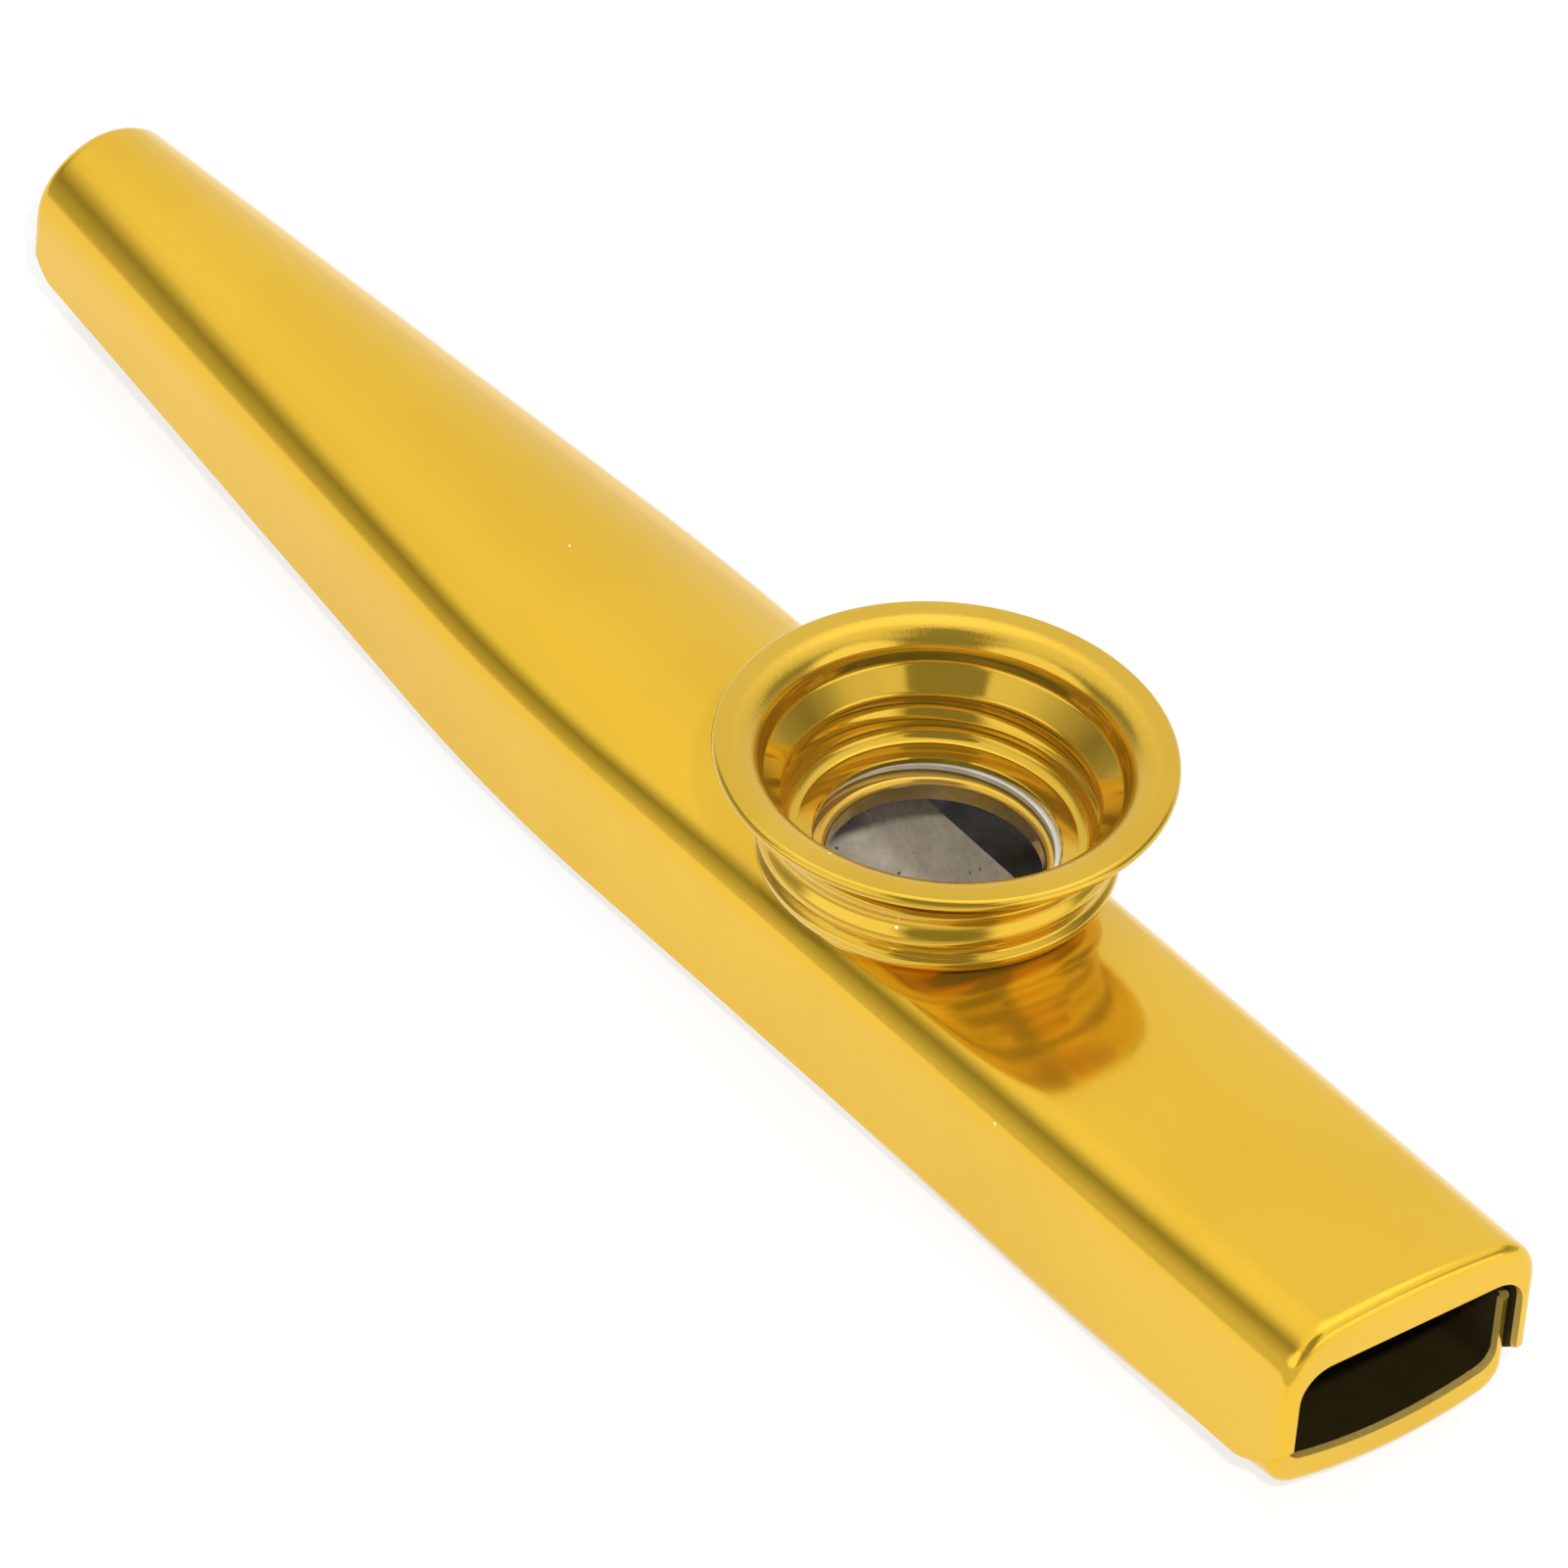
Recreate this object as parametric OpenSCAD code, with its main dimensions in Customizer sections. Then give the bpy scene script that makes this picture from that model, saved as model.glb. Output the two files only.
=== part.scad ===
// Metal kazoo: two pressed shells, a threaded turret and a screw-in cap over a membrane.
// Frame: +X towards the mouth, +Y across, +Z up; origin under the middle, on the belly.

/* [Body plan] */
// Length from the tail to the mouth
body_len = 122; // [116:1:130]
// Distance of the turret's axis from the mouth end
turret_inset = 42.75; // [40:0.25:46]
// Distance of the shoulder, where the taper starts, from the mouth end
shoulder_inset = 70.75; // [67:0.25:76]
// Width at the tail
tail_w = 9.4; // [9:0.1:11]
// Width at the shoulder
shoulder_w = 18.15; // [17.4:0.05:20]
// Width under the turret
waist_w = 17.45; // [17:0.05:19]
// Width at the mouth
mouth_w = 17.35; // [16.5:0.05:19]

/* [Body side] */
// Height of the turret's seat above the belly
body_h = 13.2; // [12.4:0.1:14.6]
// Drop of the top line from the seat to the tail
tail_drop = 1.7; // [1.2:0.1:2.2]
// Drop of the top line from the seat to the shoulder
shoulder_drop = 0.4; // [0.2:0.05:0.7]
// Height of the flat seat over the crowned top
seat_rise = 0.3; // [0.25:0.05:0.4]
// Rise of the top line from the seat to the mouth
mouth_rise = 0.8; // [0.4:0.05:0.9]
// Height of the skirts' lower edge over the belly plane at the tail
skirt_tail = 3.5; // [3:0.1:3.9]
// The same height at the shoulder
skirt_shoulder = 1.6; // [1.2:0.1:2.1]
// The same height under the turret
skirt_waist = 2; // [1.6:0.1:2.5]
// The same height at the mouth
skirt_mouth = 3.25; // [2.75:0.05:3.6]
// Rise of the belly at the tail
belly_tail = 1.9; // [1.4:0.1:2.3]
// Rise of the belly at the mouth
belly_mouth = 1.2; // [1:0.1:1.6]
// Distance from the mouth where the flat belly starts
flat_front = 26; // [22:1:32]
// Distance from the mouth where the flat belly ends
flat_back = 85; // [78:1:90]

/* [Section] */
// Edge radius of the upper shell at the tail
corner_tail = 4.25; // [3.75:0.05:4.4]
// Edge radius at the shoulder
corner_shoulder = 2.6; // [2.3:0.1:3]
// Edge radius under the turret
corner_waist = 3; // [2.7:0.1:3.2]
// Edge radius at the mouth
corner_mouth = 3.2; // [2.8:0.1:3.5]
// Slope in degrees where the crowned top meets the edge radius, at the tail
slope_tail = 30.5; // [27:0.5:33]
// Slope at the shoulder
slope_shoulder = 29.5; // [26:0.5:32]
// Slope under the turret
slope_waist = 20; // [18:0.5:23]
// Slope at the mouth
slope_mouth = 6; // [2:0.5:10]
// Edge radius of the lower shell
tray_corner = 2; // [1.6:0.1:2.2]
// Slope of the lower shell's belly at its edges, at the tail
tray_slope_tail = 8; // [4:1:12]
// Slope of the lower shell's belly at its edges, at the mouth
tray_slope_mouth = 14; // [8:1:16]

/* [Sheet and ends] */
// Sheet thickness of both shells
sheet = 0.5; // [0.45:0.05:0.6]
// Gap between the skirts and the lower shell's walls
skirt_fit = 0.08; // [0.05:0.01:0.15]
// Outer radius where the upper shell turns in at its ends
end_round = 0.75; // [0.65:0.05:0.8]
// Length of the skirts' cut corners at the mouth, seen from the side
skirt_corner = 3.8; // [3:0.1:4.2]
// Height of the skirts' cut corners at the mouth
skirt_cut = 2.35; // [1.9:0.05:2.6]
// Length of the skirts' cut corners at the tail
tail_corner = 2.2; // [1.8:0.1:3]
// Height of the skirts' cut corners at the tail
tail_cut = 1.6; // [1.2:0.05:1.8]
// Depth of the upper shell's brow over the mouth opening
mouth_brow = 3; // [2.7:0.1:3.3]
// Depth of the upper shell's brow over the tail opening
tail_brow = 1.6; // [1.4:0.1:2]
// Width that the upper shell turns in at its sides
side_lip = 0.9; // [0.85:0.05:1.1]
// Edge radius of both end openings
opening_corner = 2; // [1.6:0.1:2.2]
// Distance of the lower shell's rims from the ends
tray_recess = 1; // [0.8:0.1:1.3]
// Outer radius where the lower shell turns in at its ends
tray_round = 0.7; // [0.6:0.05:0.8]
// Height of the lower shell's sill at the mouth
mouth_sill = 1.9; // [1.6:0.1:2.1]
// Height of the lower shell's sill at the tail
tail_sill = 1.2; // [1:0.1:1.5]
// Width that the lower shell turns in at its sides
tray_lip = 0.8; // [0.75:0.05:1]
// Distance of the lower shell's wall tops below the upper shell's edge radius
tray_drop = 2; // [1.5:0.1:2.5]

/* [Turret] */
// Outer diameter of the turret over its thread
turret_d = 20.4; // [20:0.1:20.8]
// Height of the turret's rim over its seat
turret_h = 4.65; // [4.5:0.05:4.85]
// Sheet thickness of the turret
turret_sheet = 0.45; // [0.4:0.05:0.5]
// Outer radius of the turret's foot
foot_round = 1.1; // [0.9:0.05:1.15]
// Width of the rim's bead beyond the thread
bead_out = 0.12; // [0.08:0.02:0.2]
// Height of the rim's bead
bead_h = 0.45; // [0.4:0.05:0.5]
// Diameter of the hole under the membrane
hole_d = 12.2; // [11.6:0.1:12.6]
// Gap between the clinched tube and the shell's hole
clinch_fit = 0.05; // [0.03:0.01:0.08]
// Width of the clinched collar under the shell
clinch_w = 0.6; // [0.5:0.05:0.7]
// Width of the flat seat round the shell's hole
seat_w = 1.2; // [1.15:0.05:1.3]

/* [Thread] */
// Pitch of the rolled thread
thread_pitch = 2; // [1.8:0.1:2.2]
// Depth of the rolled thread
thread_depth = 0.4; // [0.3:0.02:0.44]
// Radial gap between the cap's thread and the turret's
thread_fit = 0.1; // [0.08:0.01:0.14]
// Direction in degrees, seen from above, where a thread root crosses the middle of the turret
thread_phase = 55; // [-180:1:180]

/* [Cap] */
// Diameter of the flared lip
lip_d = 26; // [25.8:0.1:27]
// Height of the lip over the turret's seat
lip_h = 7.9; // [7.7:0.1:8.3]
// Thickness of the lip's rolled edge
hem_h = 0.74; // [0.7:0.02:0.8]
// Width of the lip's rolled edge
hem_w = 1; // [0.8:0.1:1.1]
// Radius of the roll from the lip down into the throat
flare_r = 1.7; // [1.5:0.05:1.8]
// Inner diameter of the wide throat over the turret's rim
throat_d = 20.2; // [20:0.1:20.4]
// Slope in degrees of the step that leads from the threaded wall out to the throat
step_slope = 45; // [40:1:48]
// Gap between the step and the inner edge of the turret's rim
step_gap = 0.08; // [0.06:0.01:0.12]
// Radius between the throat's wall and its step
step_round = 0.5; // [0.4:0.05:0.6]
// Sheet thickness of the cap
cap_sheet = 0.45; // [0.4:0.05:0.5]
// Height of the cap's ledge over the turret's seat
ledge_h = 1.45; // [1.4:0.05:1.6]
// Diameter of the hole in the cap's ledge
ledge_d = 13.8; // [13.4:0.1:14.2]
// Outer radius between the cap's wall and its ledge
ledge_round = 1.4; // [1.2:0.05:1.5]

/* [Membrane] */
// Thickness of the clear film
film_t = 0.08; // [0.06:0.01:0.1]
// Gap between the turret's wall and the ring of the film, when they share one axis
ring_gap = 1.3; // [1:0.05:1.6]
// Width of the ring
ring_w = 1.6; // [1.4:0.05:1.7]
// Distance of the loose film and ring from the turret's axis
ring_play = 0.3; // [0:0.05:0.3]
// Direction of that distance in degrees, seen from above
play_angle = 229; // [0:1:360]
// Gap under the film and over the ring
seat_gap = 0.02; // [0.02:0.01:0.04]

/* [Hidden] */

gold = [0.87, 0.69, 0.24];
silver = [0.72, 0.73, 0.72];
clear = [0.85, 0.88, 0.9, 0.35];

tail_x = -body_len / 2;
mouth_x = body_len / 2;
turret_x = mouth_x - turret_inset;
shoulder_x = mouth_x - shoulder_inset;
// Half length over which the body's outline bends at the shoulder and the turret
blend_share = 0.065;
blend_len = body_len * blend_share;
window_shares = [-1, -0.75, -0.5, -0.25, 0, 0.25, 0.5, 0.75, 1];
// Length between two sections of the body
station_share = 0.04;
body_steps = ceil(1 / station_share);
round_steps = 3;
fine_steps = 3;
// Shape of the skirts' cut corners: 1 is straight, more is hollow
corner_power = 1.5;
arc_steps = 5;
crown_steps = 4;
ring_fn = 96;
seat_segments = 48;
thread_segments = 48;
thread_steps = 6;
// Length of the thread's fading ends, as a share of the pitch
run_share = 0.2;
// Inner radius of the bend from the cap's threaded wall to its step, as a share of the sheet
bend_share = 1 / 3;
// Thickness of the threaded walls' end tongues, as a share of the wall's
tongue_share = 0.2;
// Edge radius of the ring, as a share of its height
ring_round_share = 0.25;
overrun = sheet;

half_widths = [tail_w, shoulder_w, waist_w, mouth_w] / 2;
tops = [body_h - tail_drop, body_h - shoulder_drop, body_h - seat_rise, body_h + mouth_rise];
skirts = [skirt_tail, skirt_shoulder, skirt_waist, skirt_mouth];
corners = [corner_tail, corner_shoulder, corner_waist, corner_mouth];
slopes = [slope_tail, slope_shoulder, slope_waist, slope_mouth];

function sum_of(v) = v * [for (item = v) 1];
function flatten(lists) = [for (list = lists) for (item = list) item];

// Value at x of a size given at the tail, the shoulder, the turret and the mouth
function along(v, x) =
    let (reach = max(0, min(blend_len, x - tail_x, mouth_x - x)))
    let (places = [[tail_x, v[0]], [shoulder_x, v[1]], [turret_x, v[2]], [mouth_x, v[3]]])
    sum_of([for (s = window_shares) lookup(x + s * reach, places)]) / len(window_shares);

// Height over a section's edge radius, where its crown of half width a ends at this slope
function crown_rise(a, slope) = a * tan(slope) / 2;
function crown_half(half_w, corner, slope) = half_w - corner * (1 - sin(slope));
function edge_height(half_w, corner, slope, top) =
    top - crown_rise(crown_half(half_w, corner, slope), slope) - corner * cos(slope);

// One arched section: side wall, edge radius and crowned top, from -Y round to +Y
function arch(x, half_w, corner, slope, top, low) =
    let (a = crown_half(half_w, corner, slope))
    let (edge = edge_height(half_w, corner, slope, top))
    let (half = concat(
        [[half_w, low]],
        [for (i = [0:arc_steps]) let (t = 90 - i * (90 - slope) / arc_steps)
            [half_w - corner + corner * sin(t), edge + corner * cos(t)]],
        [for (i = [1:crown_steps]) let (u = 1 - i / crown_steps)
            [a * u, top - crown_rise(a, slope) * u * u]]))
    concat([for (p = half) [x, -p[0], p[1]]],
        [for (i = [len(half) - 2:-1:0]) [x, half[i][0], half[i][1]]]);

// Places and insets of the sections that turn a shell in at one end, from the rounding inwards
function end_places(end_x, side, radius) =
    [for (i = [0:round_steps]) let (a = 90 * i / round_steps)
        [end_x - side * radius * (1 - sin(a)), radius * (1 - cos(a))]];
function reversed(v) = [for (i = [len(v) - 1:-1:0]) v[i]];

// Sections between the two ends, closer together at the skirts' corners
function body_places(low_x, high_x) =
    let (fine_shares = [for (i = [1:fine_steps]) i / fine_steps])
    let (from_x = low_x + tail_corner, to_x = high_x - skirt_corner)
    concat([for (s = fine_shares) low_x + tail_corner * s],
        [for (i = [1:body_steps - 1]) from_x + (to_x - from_x) * i / body_steps],
        [for (s = reversed(fine_shares)) high_x - skirt_corner * s]);

// Sheet between paired outer and inner rings, with its cut edges closed
module sheet_metal(outer, inner) {
    n = len(outer);
    m = len(outer[0]);
    function at(i, j, inside) = (inside * n + i) * m + j;
    skin = [for (i = [0:n - 2]) for (j = [0:m - 2])
        [at(i, j, 0), at(i, j + 1, 0), at(i + 1, j + 1, 0), at(i + 1, j, 0)]];
    lining = [for (i = [0:n - 2]) for (j = [0:m - 2])
        [at(i, j, 1), at(i + 1, j, 1), at(i + 1, j + 1, 1), at(i, j + 1, 1)]];
    skirt_edges = [for (i = [0:n - 2]) each [
        [at(i, 0, 0), at(i + 1, 0, 0), at(i + 1, 0, 1), at(i, 0, 1)],
        [at(i + 1, m - 1, 0), at(i, m - 1, 0), at(i, m - 1, 1), at(i + 1, m - 1, 1)]]];
    end_edges = [for (j = [0:m - 2]) each [
        [at(0, j + 1, 0), at(0, j, 0), at(0, j, 1), at(0, j + 1, 1)],
        [at(n - 1, j, 0), at(n - 1, j + 1, 0), at(n - 1, j + 1, 1), at(n - 1, j, 1)]]];
    quads = concat(skin, lining, skirt_edges, end_edges);
    polyhedron(
        points = concat(flatten(outer), flatten(inner)),
        faces = [for (q = quads) each [[q[0], q[1], q[2]], [q[0], q[2], q[3]]]],
        convexity = 6);
}

// Lower edge of the skirts, rounded up towards both ends
function corner_rise(d, length, height) =
    height * pow(max(0, length - max(0, d)) / length, corner_power);
function skirt_z(x) =
    along(skirts, x) + corner_rise(mouth_x - x, skirt_corner, skirt_cut)
    + corner_rise(x - tail_x, tail_corner, tail_cut);
function upper_arch(x, inset) =
    arch(x, along(half_widths, x) - inset, along(corners, x) - inset, along(slopes, x),
        along(tops, x) - inset, skirt_z(x));
function upper_opening(x, station, brow) =
    arch(x, along(half_widths, station) - side_lip, opening_corner, 0,
        along(tops, station) - brow, skirt_z(station));
function upper_rings(depth) =
    let (radius = end_round - depth)
    concat(
        [upper_opening(tail_x + depth, tail_x, tail_brow)],
        [for (p = reversed(end_places(tail_x + depth, -1, radius))) upper_arch(p[0], p[1] + depth)],
        [for (x = body_places(tail_x + end_round, mouth_x - end_round)) upper_arch(x, depth)],
        [for (p = end_places(mouth_x - depth, 1, radius)) upper_arch(p[0], p[1] + depth)],
        [upper_opening(mouth_x - depth, mouth_x, mouth_brow)]);

// A size of the lower shell's belly that is 0 along its flat middle and grows to both ends
front_x = mouth_x - flat_front;
back_x = mouth_x - flat_back;
function to_ends(x, at_tail, at_mouth) =
    x > front_x ? at_mouth * pow((x - front_x) / (mouth_x - front_x), 2) :
    x < back_x ? at_tail * pow((back_x - x) / (back_x - tail_x), 2) : 0;
function belly_z(x) = to_ends(x, belly_tail, belly_mouth);
function tray_slope(x) = to_ends(x, tray_slope_tail, tray_slope_mouth);
function tray_top(x) =
    edge_height(along(half_widths, x), along(corners, x), along(slopes, x), along(tops, x))
    - tray_drop;
function tray_half(x) = along(half_widths, x) - sheet - skirt_fit;
// The lower shell's sections are drawn upside down, and mirrored by its module
function tray_arch(x, inset) =
    arch(x, tray_half(x) - inset, tray_corner - inset, tray_slope(x),
        -belly_z(x) - inset, -tray_top(x));
function tray_opening(x, station, sill) =
    arch(x, tray_half(station) - tray_lip, tray_corner - tray_round, tray_slope(station),
        -belly_z(station) - sill, -tray_top(station));
function tray_rings(depth) =
    let (low_x = tail_x + tray_recess, high_x = mouth_x - tray_recess)
    let (radius = tray_round - depth)
    concat(
        [tray_opening(low_x + depth, low_x, tail_sill)],
        [for (p = reversed(end_places(low_x + depth, -1, radius))) tray_arch(p[0], p[1] + depth)],
        [for (x = body_places(low_x + tray_round, high_x - tray_round)) tray_arch(x, depth)],
        [for (p = end_places(high_x - depth, 1, radius)) tray_arch(p[0], p[1] + depth)],
        [tray_opening(high_x - depth, high_x, mouth_sill)]);

module lower_shell() {
    color(gold) mirror([0, 0, 1]) sheet_metal(tray_rings(0), tray_rings(sheet));
}

clinch_r = hole_d / 2 + turret_sheet;
shell_hole_r = clinch_r + clinch_fit;
seat_r = shell_hole_r + seat_w;

// Height of the upper shell's outer face, on its crown or its edge radius
function crown_z(x, y) =
    let (half_w = along(half_widths, x), corner = along(corners, x), slope = along(slopes, x))
    let (half = crown_half(half_w, corner, slope), reach = abs(y) - half_w + corner)
    abs(y) < half ? along(tops, x) - crown_rise(half, slope) * pow(y / half, 2) :
    edge_height(half_w, corner, slope, along(tops, x)) + sqrt(corner * corner - reach * reach);

// Flat seat stamped up from the crown round the hole, with its wall ending inside the sheet
module stamped_seat() {
    n = seat_segments;
    function around(k) = 360 * k / n;
    function low_z(k, r) =
        crown_z(turret_x + r * cos(around(k)), r * sin(around(k))) - sheet / 2;
    hole_r = shell_hole_r - overrun;
    wall_r = seat_r - sheet;
    rings = [[hole_r, 0, 0], [seat_r, 0, 0], [seat_r, 0, 1], [wall_r, 0, 1],
        [wall_r, -sheet, 0], [hole_r, -sheet, 0]];
    points = [for (ring = rings) for (k = [0:n - 1])
        [turret_x + ring[0] * cos(around(k)), ring[0] * sin(around(k)),
            ring[2] ? low_z(k, ring[0]) : body_h + ring[1]]];
    m = len(rings);
    function at(i, k) = (i % m) * n + k % n;
    polyhedron(
        points = points,
        faces = [for (i = [0:m - 1]) for (k = [0:n - 1]) each [
            [at(i, k), at(i, k + 1), at(i + 1, k + 1)], [at(i, k), at(i + 1, k + 1), at(i + 1, k)]]],
        convexity = 6);
}

module upper_shell() {
    deep = corner_waist + crown_rise(waist_w / 2, slope_waist) + overrun;
    color(gold) difference() {
        union() {
            difference() {
                sheet_metal(upper_rings(0), upper_rings(sheet));
                translate([turret_x, 0, body_h - deep])
                    cylinder(h = deep + overrun, r = seat_r - sheet / 2, $fn = ring_fn);
            }
            stamped_seat();
        }
        translate([turret_x, 0, body_h - deep])
            cylinder(h = deep + overrun, r = shell_hole_r, $fn = ring_fn);
    }
}

// The rolled thread, right-handed: 0 on a root, 1 on a crest, fading to the given value at its ends
turret_crest = turret_d / 2;
turret_bore = turret_crest - turret_sheet;
cap_crest = turret_bore - thread_fit;
cap_root = cap_crest - thread_depth;
function wave(angle, z) = (1 - cos(360 * z / thread_pitch - angle + thread_phase)) / 2;
function fade(z, low, high, run) =
    let (u = max(0, min(1, min(z - low, high - z) / run))) u * u * (3 - 2 * u);

// A threaded wall between two heights, with a thinner tongue at each end that goes into the next part
module rolled_wall(low, high, run, plain_r, wall, step) {
    levels = round(thread_steps * (high - low) / thread_pitch);
    n = thread_segments;
    tongue = wall * tongue_share;
    heights = concat([low - tongue, low], [for (i = [1:levels - 1]) low + (high - low) * i / levels],
        [high, high + tongue]);
    m = len(heights);
    function thin(i) = i < 2 || i > m - 3 ? tongue : 0;
    function radius(i, k) =
        plain_r + step * fade(heights[i], low, high, run)
        * (step < 0 ? 1 - wave(360 * k / n, heights[i]) : wave(360 * k / n, heights[i]));
    function point(i, k, r) = [r * cos(360 * k / n), r * sin(360 * k / n), heights[i]];
    points = concat(
        [for (i = [0:m - 1]) for (k = [0:n - 1]) point(i, k, radius(i, k) - thin(i))],
        [for (i = [0:m - 1]) for (k = [0:n - 1]) point(i, k, radius(i, k) - wall + thin(i))]);
    function at(i, k, inside) = (inside * m + i) * n + k % n;
    quads = concat(
        [for (i = [0:m - 2]) for (k = [0:n - 1])
            [at(i, k, 0), at(i + 1, k, 0), at(i + 1, k + 1, 0), at(i, k + 1, 0)]],
        [for (i = [0:m - 2]) for (k = [0:n - 1])
            [at(i, k, 1), at(i, k + 1, 1), at(i + 1, k + 1, 1), at(i + 1, k, 1)]],
        [for (k = [0:n - 1]) [at(0, k, 1), at(0, k, 0), at(0, k + 1, 0), at(0, k + 1, 1)]],
        [for (k = [0:n - 1])
            [at(m - 1, k, 0), at(m - 1, k, 1), at(m - 1, k + 1, 1), at(m - 1, k + 1, 0)]]);
    polyhedron(
        points = points,
        faces = [for (q = quads) each [[q[0], q[1], q[2]], [q[0], q[2], q[3]]]],
        convexity = 6);
}

// Points of an arc in a profile, from one angle to another
function arc(centre, radius, from, to, steps) =
    [for (i = [0:steps]) let (a = from + (to - from) * i / steps)
        centre + radius * [cos(a), sin(a)]];

// Heights in the turret and the cap are counted from the seat
turret_wall_high = turret_h - bead_h;
thread_run = thread_pitch * run_share;

module turret() {
    bead_r = bead_h / 2;
    translate([turret_x, 0, body_h]) color(gold) union() {
        // Web, clinched tube and the collar under the shell
        rotate_extrude($fn = ring_fn) polygon(concat(
            [[hole_d / 2, -sheet - turret_sheet], [clinch_r + clinch_w, -sheet - turret_sheet],
                [clinch_r + clinch_w, -sheet], [clinch_r, -sheet], [clinch_r, 0]],
            arc([turret_crest - foot_round, foot_round], foot_round, -90, 0, 6),
            reversed(arc([turret_crest - foot_round, foot_round], foot_round - turret_sheet,
                -90, 0, 6)),
            [[clinch_r - turret_sheet / 2, turret_sheet]],
            reversed(arc([clinch_r, 0], turret_sheet, 120, 180, 3))));
        rolled_wall(foot_round, turret_wall_high, thread_run, turret_crest, turret_sheet,
            -thread_depth);
        // Bead of the rim
        rotate_extrude($fn = ring_fn) polygon(concat(
            [[turret_bore, turret_wall_high], [turret_crest, turret_wall_high]],
            arc([turret_crest + bead_out - bead_r, turret_h - bead_r], bead_r, -60, 90, 8),
            [[turret_bore, turret_h]]));
    }
}

film_z = turret_sheet + seat_gap;
web_z = ledge_h - cap_sheet;
ring_z = film_z + film_t;
ring_r = turret_bore - ring_gap;
play = ring_play * [cos(play_angle), sin(play_angle)];

module membrane_film() {
    translate([turret_x + play[0], play[1], body_h + film_z]) color(clear)
        cylinder(h = film_t, r = ring_r, $fn = ring_fn);
}

module membrane_ring() {
    ring_h = web_z - seat_gap - ring_z;
    round_r = ring_h * ring_round_share;
    inner_r = ring_r - ring_w;
    translate([turret_x + play[0], play[1], body_h + ring_z]) color(silver)
        rotate_extrude($fn = ring_fn) polygon(concat(
            [[ring_r, 0], [ring_r, ring_h]],
            arc([inner_r + round_r, ring_h - round_r], round_r, 90, 180, 4),
            arc([inner_r + round_r, round_r], round_r, 180, 270, 4)));
}

module screw_cap() {
    lip_r = lip_d / 2;
    hem_r = hem_h / 2;
    throat_r = throat_d / 2;
    flare_c = [throat_r + flare_r, lip_h - flare_r];
    bend_r = cap_sheet * bend_share;
    // The step's inner face is a cone that clears the edge of the rim by the sheet and the gap
    off = (cap_sheet + step_gap) * [-sin(step_slope), cos(step_slope)];
    edge = [turret_bore, turret_h] + off;
    step_r = throat_r - step_round * (1 - sin(step_slope));
    step_c = [throat_r - step_round,
        edge[1] + (step_r - edge[0]) * tan(step_slope) + step_round * cos(step_slope)];
    wide_r = bend_r + cap_sheet;
    bend_out = cap_root + bend_r - wide_r * sin(step_slope);
    bend_c = [cap_root + bend_r,
        edge[1] + (bend_out - edge[0]) * tan(step_slope) - wide_r * cos(step_slope)];
    corner_c = [cap_root - ledge_round, web_z + ledge_round];
    translate([turret_x, 0, body_h]) color(gold) union() {
        // Ledge and the corner up to the threaded wall
        rotate_extrude($fn = ring_fn) polygon(concat(
            [[ledge_d / 2, web_z]],
            arc(corner_c, ledge_round, -90, 0, 6),
            reversed(arc(corner_c, ledge_round - cap_sheet, -90, 0, 6)),
            [[ledge_d / 2, ledge_h]]));
        rolled_wall(corner_c[1], bend_c[1], thread_run, cap_root, cap_sheet, thread_depth);
        // Sloped step over the turret's rim, throat, roll and the lip with its folded edge
        rotate_extrude($fn = ring_fn) polygon(concat(
            reversed(arc(bend_c, bend_r, 90 + step_slope, 180, 3)),
            arc(step_c, step_round + cap_sheet, step_slope - 90, 0, 5),
            reversed(arc(flare_c, flare_r - cap_sheet, 90, 180, 8)),
            [[lip_r - hem_w, lip_h - cap_sheet], [lip_r - hem_w, lip_h - hem_h]],
            arc([lip_r - hem_r, lip_h - hem_r], hem_r, -90, 90, 8),
            arc(flare_c, flare_r, 90, 180, 10),
            reversed(arc(step_c, step_round, step_slope - 90, 0, 5)),
            arc(bend_c, wide_r, 90 + step_slope, 180, 5)));
    }
}

lower_shell();
upper_shell();
turret();
membrane_film();
membrane_ring();
screw_cap();
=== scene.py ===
# %% [markdown]
# # A metal kazoo in gold-anodised aluminium
# This file dresses a finished CAD model of a kazoo: two pressed shells, a threaded turret, and a
# screw-in cap that clamps a clear film under a silver ring. The CAD model fixes every size. Here
# its coarse shells and threads get smooth stand-ins of the same size, and each surface gets a
# material made from nodes. All lengths are in metres, +X points to the mouth and +Z up.

import math

import bmesh
import bpy
from mathutils import Matrix, Vector


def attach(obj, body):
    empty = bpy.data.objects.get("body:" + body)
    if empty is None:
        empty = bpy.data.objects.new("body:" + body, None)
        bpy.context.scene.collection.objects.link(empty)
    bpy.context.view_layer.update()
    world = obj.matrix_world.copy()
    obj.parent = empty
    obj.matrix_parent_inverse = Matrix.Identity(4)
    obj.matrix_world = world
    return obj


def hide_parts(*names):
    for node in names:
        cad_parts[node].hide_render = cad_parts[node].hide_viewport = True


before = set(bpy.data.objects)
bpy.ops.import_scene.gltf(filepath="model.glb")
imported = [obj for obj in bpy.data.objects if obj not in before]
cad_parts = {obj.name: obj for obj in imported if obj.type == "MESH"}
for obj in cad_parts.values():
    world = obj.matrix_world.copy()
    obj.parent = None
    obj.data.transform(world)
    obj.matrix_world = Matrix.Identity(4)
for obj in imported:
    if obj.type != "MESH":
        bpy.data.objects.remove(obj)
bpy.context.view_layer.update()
scene = bpy.context.scene
print("nodes:", sorted(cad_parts))

# %% [markdown]
# ## The camera
# The photograph was taken from far away with a long lens, so its lines hardly converge. The
# camera below stands where a fit to the outline of the lip and the body puts it. Its three axes
# are written out, which also keeps the small roll that the photograph has.

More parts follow.
